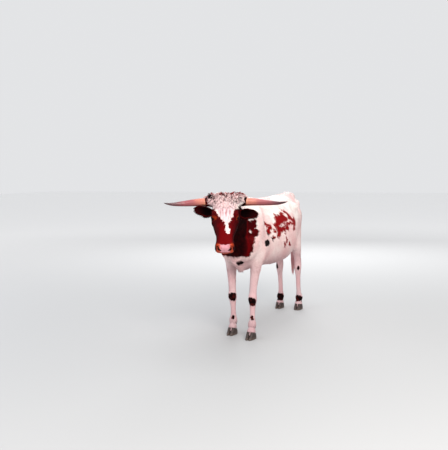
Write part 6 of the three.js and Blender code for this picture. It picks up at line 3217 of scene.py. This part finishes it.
@dataclass
class HairFinish:
    """The finish of skin and hair, coloured by one set of markings."""

    markings: Markings
    colours: CoatColours = CoatColours()

    def colour(self, tree: Tree, place: Socket, lines: float = 0.9) -> tuple[Socket, Node]:
        """Return the hair's colour at a place, and the markings node.

        Args:
            tree: The node tree.
            place: The place, in metres.
            lines: How strong the rosy tint of the blaze and the painted shade in the partings are.

        Returns:
            The colour, and the node whose outputs tell where on the animal it is.
        """
        c = self.colours
        node = tree.nodes.new("ShaderNodeGroup")
        node.node_tree = self.markings.build()
        tree.links.new(place, node.inputs["Place"])
        broad, mid = noise(tree, place, 210.0, 2.0), noise(tree, place, 34.0, 3.0)
        flush = math_node(tree, "MULTIPLY", ramp(tree, broad, 0.34, 0.7), 0.8)
        white = blend_colour(tree, flush, c.white, c.blush)
        freckle = math_node(tree, "MULTIPLY", ramp(tree, mid, 0.56, 0.76), 0.22)
        white = blend_colour(tree, freckle, white, c.shade)
        height = node.outputs["Height"]
        # pinker low on the flank and darker under the belly: painted shade below the lit back
        low = math_node(tree, "MULTIPLY", ramp(tree, height, 1120, 820), 0.45)
        white = blend_colour(tree, low, white, c.blush)
        belly = math_node(tree, "MULTIPLY", ramp(tree, height, 740, 600), 0.42)
        white = blend_colour(tree, belly, white, c.shade)
        # mauve partings on the forehead and poll: painted shade between the locks
        parting_shade = noise(tree, node.outputs["Combed"], 9.0, 2.0)
        parting_shade = math_node(tree, "MULTIPLY", ramp(tree, parting_shade, 0.52, 0.62), node.outputs["Curls"])
        pink = math_node(tree, "MULTIPLY", node.outputs["Front"], lines)
        white = blend_colour(tree, pink, white, c.rosy)
        white = blend_colour(tree, math_node(tree, "MULTIPLY", parting_shade, lines), white, c.mauve)
        # greyer towards the feet: dust, with painted shade low on the legs
        foot = math_node(tree, "MULTIPLY", ramp(tree, height, 300, 70), 0.5)
        white = blend_colour(tree, foot, white, c.dust)
        glow = ramp(tree, noise(tree, place, 80.0, 3.0), 0.48, 0.7)
        glow = math_node(tree, "MULTIPLY", glow, 0.55)
        # Bright: brighter down the nose, and a painted highlight along a fold of the neck
        lit = math_node(tree, "MULTIPLY", node.outputs["Bright"], 0.85)
        red = blend_colour(tree, math_node(tree, "MAXIMUM", glow, lit), c.red, c.bright)
        uneven = math_node(tree, "MULTIPLY_ADD", ramp(tree, mid, 0.3, 0.7), 0.22, 0.76)
        # Deep: painted shade on the cheeks, and darker hair with painted shade on the neck
        deep = math_node(tree, "MULTIPLY", node.outputs["Deep"], uneven)
        red = blend_colour(tree, deep, red, c.deep)
        red = blend_colour(tree, node.outputs["Crest"], red, c.crest)
        colour = blend_colour(tree, node.outputs["Red"], white, red)
        # Dark: near-black marks and lids, and painted shade in the poll's hollows
        brown = math_node(tree, "MULTIPLY", ramp(tree, mid, 0.46, 0.62), node.outputs["Low"])
        dark_hair_and_shade = blend_colour(tree, brown, c.black, c.umber)
        # painted highlights: orange, sunlit hair about the eyes and on the nostrils' wings
        thin = math_node(tree, "MULTIPLY", node.outputs["Thin"], 0.72)
        colour = blend_colour(tree, thin, colour, c.orange)
        return blend_colour(tree, node.outputs["Dark"], colour, dark_hair_and_shade), node

    def hair(
        self,
        name: str,
        clump_mm: float = 2.4,
        shade: str = "#D5C6C2",
        low: float = 0.3,
        lines: float = 0.9,
    ) -> Material:
        """Return cattle hair: sleek and a little oily, each tuft one tone off its neighbours.

        Args:
            name: The material's name.
            clump_mm: How wide the patches of one tone are.
            shade: What the darkest tone multiplies the colour by.
            low: The noise value at which the tone is darkest.
            lines: How strong the rosy tint of the blaze and the painted shade in the partings are.

        Returns:
            The finish.
        """
        material, tree, shader = new_finish(
            name, 0.55, Sheen_Weight=0.01, Sheen_Roughness=0.4, Specular_IOR_Level=0.025
        )
        root, tip = stored(tree, "root").outputs["Vector"], stored(tree, "tip").outputs["Fac"]
        colour, node = self.colour(tree, root, lines)
        tone = ramp(tree, noise(tree, root, clump_mm, 1.0), low, 0.66)
        below = ramp(tree, node.outputs["Down"], -20, 50)
        clean = math_node(tree, "MULTIPLY", below, node.outputs["Front"])
        tone = math_node(tree, "MAXIMUM", tone, clean)
        tint = blend_colour(tree, tone, shade, "#FFFFFF")
        tinted = blend_colour(tree, 1.0, colour, tint, "MULTIPLY")
        ends = math_node(tree, "MULTIPLY_ADD", tip, 0.16, 0.94)
        final = add_node(tree, "ShaderNodeHueSaturation", {"Value": ends, "Color": tinted})
        tree.links.new(final.outputs["Color"], shader.inputs["Base Color"])
        return material

    def hide(self) -> Material:
        """Return the hide: dense undercoat over most of it, damp pebbled skin on nose and lips,
        and painted shade in nostrils and mouth.

        Returns:
            The finish.
        """
        c = self.colours
        material, tree, shader = new_finish("hide", 0.6, Specular_IOR_Level=0.03)
        place = add_node(tree, "ShaderNodeTexCoord").outputs["Object"]
        colour, node = self.colour(tree, place)
        hairs = noise(tree, stored(tree, "grain").outputs["Vector"], 1.7, 3.0)
        pores = math_node(tree, "MULTIPLY_ADD", hairs, 0.5, 0.66)
        under = add_node(tree, "ShaderNodeHueSaturation", {"Value": pores, "Color": colour})
        naked = stored(tree, "bare").outputs["Fac"]
        down, out = node.outputs["Down"], node.outputs["Out"]
        blotch = noise(tree, place, 14.0, 3.0)
        off = math_node(tree, "ABSOLUTE", math_node(tree, "SUBTRACT", node.outputs["Across"], 4))
        outer = math_node(tree, "MAXIMUM", ramp(tree, out, 6, -12), ramp(tree, off, 28, 48))
        skin = blend_colour(tree, outer, c.nose, c.lip)
        rim = math_node(tree, "MULTIPLY", ramp(tree, blotch, 0.5, 0.66), 0.3)
        skin = blend_colour(tree, rim, skin, c.red)
        # painted highlights: orange where sunlit on the nostrils' wings and by the eyes
        thin = math_node(tree, "MULTIPLY", node.outputs["Thin"], 0.6)
        skin = blend_colour(tree, thin, skin, c.orange)
        gape = math_node(tree, "MULTIPLY", ramp(tree, down, 458, 428), ramp(tree, out, 20, 0))
        skin = blend_colour(tree, math_node(tree, "MULTIPLY", gape, 0.85), skin, c.deep)
        # red towards the bare skin's edges: the red coat's colour, with painted shade where the
        # muzzle turns away
        edge = math_node(tree, "MULTIPLY", ramp(tree, naked, 0.95, 0.3), 0.9)
        skin = blend_colour(tree, edge, skin, c.red)
        lids = ramp(tree, down, 300, 260)
        skin = blend_colour(tree, lids, skin, c.slate)
        # painted shade inside the nostrils and along the mouth's line
        skin = blend_colour(tree, stored(tree, "gloom").outputs["Fac"], skin, c.slate)
        final = blend_colour(tree, naked, under.outputs["Color"], skin)
        tree.links.new(final, shader.inputs["Base Color"])
        damp = add_node(
            tree, "ShaderNodeMapRange", {"Value": naked, "To Min": 0.6, "To Max": 0.34}
        ).outputs["Result"]
        tree.links.new(damp, shader.inputs["Roughness"])
        cells = add_node(
            tree, "ShaderNodeTexVoronoi", {"Vector": place, "Scale": 420.0}
        ).outputs["Distance"]
        grit = {0: naked, 2: hairs, 3: cells}
        relief = add_node(tree, "ShaderNodeMix", grit, {"data_type": "FLOAT"})
        bumped(tree, shader, relief.outputs[0], 0.9, 0.6)
        return material


@dataclass(frozen=True)
class HornFinish:
    """Horn keratin, grown in layers and rubbed smooth, which gives it a waxy gloss and streaks.

    It is cream at the root, then mauve-brown, and black at the tip; its underside is darker, as
    painted shade.
    """

    root: str = "#E6AC80"
    bands: tuple = (
        (0.05, 0.24, "#C37462"),
        (0.22, 0.5, "#964A50"),
        (0.5, 0.82, "#552B33"),
        (0.8, 0.97, "#1B0E10"),
    )
    # painted shade on the horn's underside
    below: str = "#6B2420"
    streaks: str = "#3E1D1A"

    def build(self) -> Material:
        """Make the finish.

        Returns:
            The material.
        """
        material, tree, shader = new_finish(
            "horn_keratin", 0.36, Specular_IOR_Level=0.5, Coat_Weight=0.15
        )
        share = stored(tree, "share").outputs["Vector"]
        parts = add_node(tree, "ShaderNodeSeparateXYZ", {0: share}).outputs
        place = add_node(tree, "ShaderNodeTexCoord").outputs["Object"]
        cloud = math_node(tree, "MULTIPLY_ADD", noise(tree, place, 38.0, 3.0), 0.22, -0.11)
        at = math_node(tree, "ADD", parts["Y"], cloud)
        colour = self.root
        for low, high, further in self.bands:
            colour = blend_colour(tree, ramp(tree, at, low, high), colour, further)
        # the underside darkened: painted shade
        turn = math_node(tree, "SINE", math_node(tree, "MULTIPLY", parts["X"], 2 * math.pi))
        under = math_node(tree, "MULTIPLY", ramp(tree, turn, -0.15, -0.95), 0.72)
        colour = blend_colour(tree, under, colour, self.below)
        # about 46 streaks round the horn, each a third of it long
        stretch = vector_node(tree, "MULTIPLY", share, (46, 3.2, 1))
        inputs = {"Vector": stretch, "Scale": 1.0, "Detail": 4.0}
        streak = add_node(tree, "ShaderNodeTexNoise", inputs).outputs["Fac"]
        dark = math_node(tree, "MULTIPLY", ramp(tree, streak, 0.5, 0.72), 0.34)
        colour = blend_colour(tree, dark, colour, self.streaks)
        tree.links.new(colour, shader.inputs["Base Color"])
        bumped(tree, shader, streak, 0.5, 0.5)
        return material


@dataclass(frozen=True)
class HoofFinish:
    """Hoof keratin, worn on the ground: dull, layered, and dusty low down."""

    dark: str = "#1C1211"
    pale: str = "#46332D"
    dust: str = "#6E5C50"

    def build(self) -> Material:
        """Make the finish.

        Returns:
            The material.
        """
        material, tree, shader = new_finish("hoof_keratin", 0.55)
        place = add_node(tree, "ShaderNodeTexCoord").outputs["Object"]
        tall = vector_node(tree, "MULTIPLY", place, (1, 1, 0.16))
        streak = noise(tree, tall, 5.0, 3.0)
        colour = blend_colour(tree, ramp(tree, streak, 0.36, 0.66), self.dark, self.pale)
        height = add_node(tree, "ShaderNodeSeparateXYZ", {0: place}).outputs["Z"]
        dust = math_node(tree, "MULTIPLY", ramp(tree, height, 0.03, 0.0), 0.4)
        colour = blend_colour(tree, dust, colour, self.dust)
        tree.links.new(colour, shader.inputs["Base Color"])
        bumped(tree, shader, streak, 0.6, 0.5)
        return material


@dataclass(frozen=True)
class EyeFinish:
    """A living eye: dark brown iris and level pupil under a wet, clear front."""

    iris: tuple = ("#1A0B07", "#35180D")
    rim: str = "#140B0A"
    white: str = "#6E4E44"
    pupil: str = "#020203"

    def build(self) -> Material:
        """Make the finish.

        Returns:
            The material.
        """
        wet = {"Coat_Weight": 0.3, "Coat_IOR": 1.34, "Coat_Roughness": 0.02}
        material, tree, shader = new_finish("eye_gloss", 0.08, Specular_IOR_Level=0.05, **wet)
        gaze = stored(tree, "gaze").outputs["Vector"]
        ring = vector_node(tree, "LENGTH", vector_node(tree, "MULTIPLY", gaze, (1, 1, 0)))
        oblong = vector_node(tree, "LENGTH", vector_node(tree, "MULTIPLY", gaze, (2.1, 4.4, 0)))
        fibre = noise(tree, gaze, 60.0, 3.0)
        iris = blend_colour(tree, ramp(tree, fibre, 0.35, 0.7), *self.iris)
        colour = blend_colour(tree, ramp(tree, ring, 0.7, 0.76), iris, self.rim)
        colour = blend_colour(tree, ramp(tree, ring, 0.84, 0.92), colour, self.white)
        colour = blend_colour(tree, ramp(tree, oblong, 1.0, 0.9), colour, self.pupil)
        tree.links.new(colour, shader.inputs["Base Color"])
        return material


@dataclass(frozen=True)
class EarFinish:
    """An ear: matt red hair behind, and dark thin skin in the hollow."""

    back: tuple = ("#470608", "#6C120D")
    hollow: tuple = ("#0B0203", "#2C0406")

    def build(self) -> Material:
        """Make the finish.

        Returns:
            The material.
        """
        material, tree, shader = new_finish("ear_skin", 0.85, Specular_IOR_Level=0.02)
        share = stored(tree, "share").outputs["Vector"]
        hollow = stored(tree, "hollow").outputs["Fac"]
        place = add_node(tree, "ShaderNodeTexCoord").outputs["Object"]
        cloud = noise(tree, place, 12.0, 3.0)
        back = blend_colour(tree, ramp(tree, cloud, 0.4, 0.7), *self.back)
        along = add_node(tree, "ShaderNodeSeparateXYZ", {0: share}).outputs["Y"]
        inside = blend_colour(tree, ramp(tree, along, 0.35, 0.95), *self.hollow)
        tree.links.new(blend_colour(tree, hollow, back, inside), shader.inputs["Base Color"])
        bumped(tree, shader, noise(tree, place, 2.0, 2.0), 0.6, 0.6)
        return material


# Studio


@dataclass(frozen=True)
class View:
    """The camera: where it stands, how it turns and how long its lens is."""

    place: tuple = (2.2730, -5.2834, 1.5261)
    turn: float = 26.897
    dip: float = 5.307
    roll: float = -0.869
    focal_pixels: float = 608.47
    frame_pixels: float = 448.0
    sensor_mm: float = 36.0

    def build(self) -> Piece:
        """Return the scene's camera, at the photograph's angle.

        Returns:
            The camera.
        """
        azimuth, pitch, roll = (math.radians(v) for v in (self.turn, self.dip, self.roll))
        right = Vector((math.cos(azimuth), math.sin(azimuth), 0))
        ahead = Vector((-math.sin(azimuth), math.cos(azimuth), 0)) * math.cos(pitch)
        ahead -= Vector((0, 0, math.sin(pitch)))
        up = right.cross(ahead)
        turned = right * math.cos(roll) + up * math.sin(roll)
        upright = up * math.cos(roll) - right * math.sin(roll)
        bpy.ops.object.camera_add()
        camera = bpy.context.object
        rows = zip(turned, upright, -ahead, self.place)
        camera.matrix_world = Matrix([*(tuple(row) for row in rows), (0, 0, 0, 1)])
        camera.data.sensor_width = self.sensor_mm
        camera.data.sensor_fit = "HORIZONTAL"
        camera.data.lens = self.focal_pixels / self.frame_pixels * self.sensor_mm
        camera.data.clip_end = 60
        bpy.context.scene.camera = camera
        return camera


@dataclass(frozen=True)
class SoftLight:
    """One broad lamp, aimed at a point on the animal."""

    name: str
    place: tuple
    target: tuple
    size: float
    watts: float
    tint: str

    def build(self) -> Piece:
        """Return the lamp.

        Returns:
            The lamp.
        """
        bpy.ops.object.light_add(type="AREA", location=self.place)
        lamp = bpy.context.object
        lamp.name = self.name
        aim = Vector(self.target) - Vector(self.place)
        lamp.rotation_euler = aim.to_track_quat("-Z", "Y").to_euler()
        lamp.data.size = self.size
        lamp.data.energy = self.watts
        lamp.data.color = srgb(self.tint)[:3]
        return lamp


@dataclass(frozen=True)
class PlasterFinish:
    """Painted plaster: matt, and paler far off, so that it looks even in the light."""

    near: str = "#AAABAC"
    far: str = "#FAFAFA"

    def build(self) -> Material:
        """Make the finish.

        Returns:
            The material.
        """
        material, tree, shader = new_finish("studio_paint", 0.9, Specular_IOR_Level=0.1)
        place = add_node(tree, "ShaderNodeTexCoord").outputs["Object"]
        away = ramp(tree, vector_node(tree, "LENGTH", place), 1.2, 11.0)
        tint = blend_colour(tree, away, self.near, self.far)
        tree.links.new(tint, shader.inputs["Base Color"])
        return material


@dataclass
class Studio:
    """A pale floor under broad soft lights."""

    lights: tuple = (
        SoftLight("key_light", (3.6, -4.2, 4.6), (0, 0, 0.8), 3.2, 340, "#FFF8F0"),
        SoftLight("fill_light", (-4.6, -3.4, 2.6), (0, -0.3, 0.8), 4.0, 90, "#EEF3FF"),
        SoftLight("rim_light", (-1.5, 4.8, 3.8), (0, 0, 1.0), 3.0, 170, "#FFFFFF"),
        SoftLight("top_light", (0.5, 0.4, 5.4), (0, 0, 0.9), 3.0, 130, "#FFFFFF"),
    )

    def build(self) -> None:
        """Make the floor, the lamps and the pale surroundings."""
        bpy.ops.mesh.primitive_plane_add(size=60)
        floor = bpy.context.object
        floor.name = "studio_floor"
        floor.data.materials.append(PlasterFinish().build())
        for light in self.lights:
            light.build()
        world = bpy.data.worlds.new("studio")
        bpy.context.scene.world = world
        world.use_nodes = True
        shade = world.node_tree.nodes["Background"]
        shade.inputs["Color"].default_value = srgb("#F3F4F6")
        shade.inputs["Strength"].default_value = 0.86
        bpy.context.scene.view_settings.view_transform = "Standard"


# The whole animal

FLESH_NODES = (
    "torso",
    "neck",
    "head",
    *(f"{leg.name}_{part}_leg" for leg in LEGS for part in ("upper", "lower")),
)


def main() -> None:
    """Build the animal and its studio."""
    logging.basicConfig(level=logging.INFO, format="%(message)s")
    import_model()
    View().build()
    Studio().build()
    skin = Skin()
    hide = skin.build()
    at = drawing_points(hide)
    store(hide, "bare", bare(at))
    store(hide, "gloom", gloom(at))
    store(hide, "grain", grain(at))
    hair = HairFinish(Markings())
    finished(hide, hair.hide(), FLESH_NODES)
    bed = Bed(hide)
    short, curly = hair.hair("short_hair"), hair.hair("curly_hair", 7.0, "#E6CFD0", 0.3, 0.4)
    for piece in Coat(bed).build():
        finished(piece, short, [])
    finished(Forelock(skin, bed).build(), curly, [])
    dock = Dock()
    tail = dock.build()
    finished(tail, hair.hide(), ["tail"])
    switch = Switch(dock, Bed(tail))
    finished(switch.locks(), curly, [])
    finished(switch.short(), short, [])
    finishes = (HornFinish(), EarFinish(), EyeFinish(), HoofFinish())
    horn, leaf, gloss, keratin = (finish.build() for finish in finishes)
    for name, side in SIDES.items():
        finished(Horn(side).build(), horn, [f"{name}_horn"])
        ear = Ear(side)
        shell = finished(ear.build(), leaf, [f"{name}_ear"])
        finished(Fringe(ear, Bed(shell)).build(), hair.hair(f"{name}_ear_hair"), [])
        finished(EyeBall(side).build(), gloss, [f"{name}_eye"])
    for leg in LEGS:
        hoof = Hoof(leg)
        for word, which in (("outer", 1), ("inner", -1)):
            node = f"{leg.name}_{word}_claw"
            finished(hoof.claw(which, f"{node}_wall"), keratin, [node])
            node = f"{leg.name}_{word}_dewclaw"
            finished(hoof.dewclaw(which, f"{node}_horn"), keratin, [node])
    for piece in bpy.data.objects:
        if piece.type == "MESH":
            log.info("%s: %d faces", piece.name, len(piece.data.polygons))


if __name__ == "__main__":
    main()
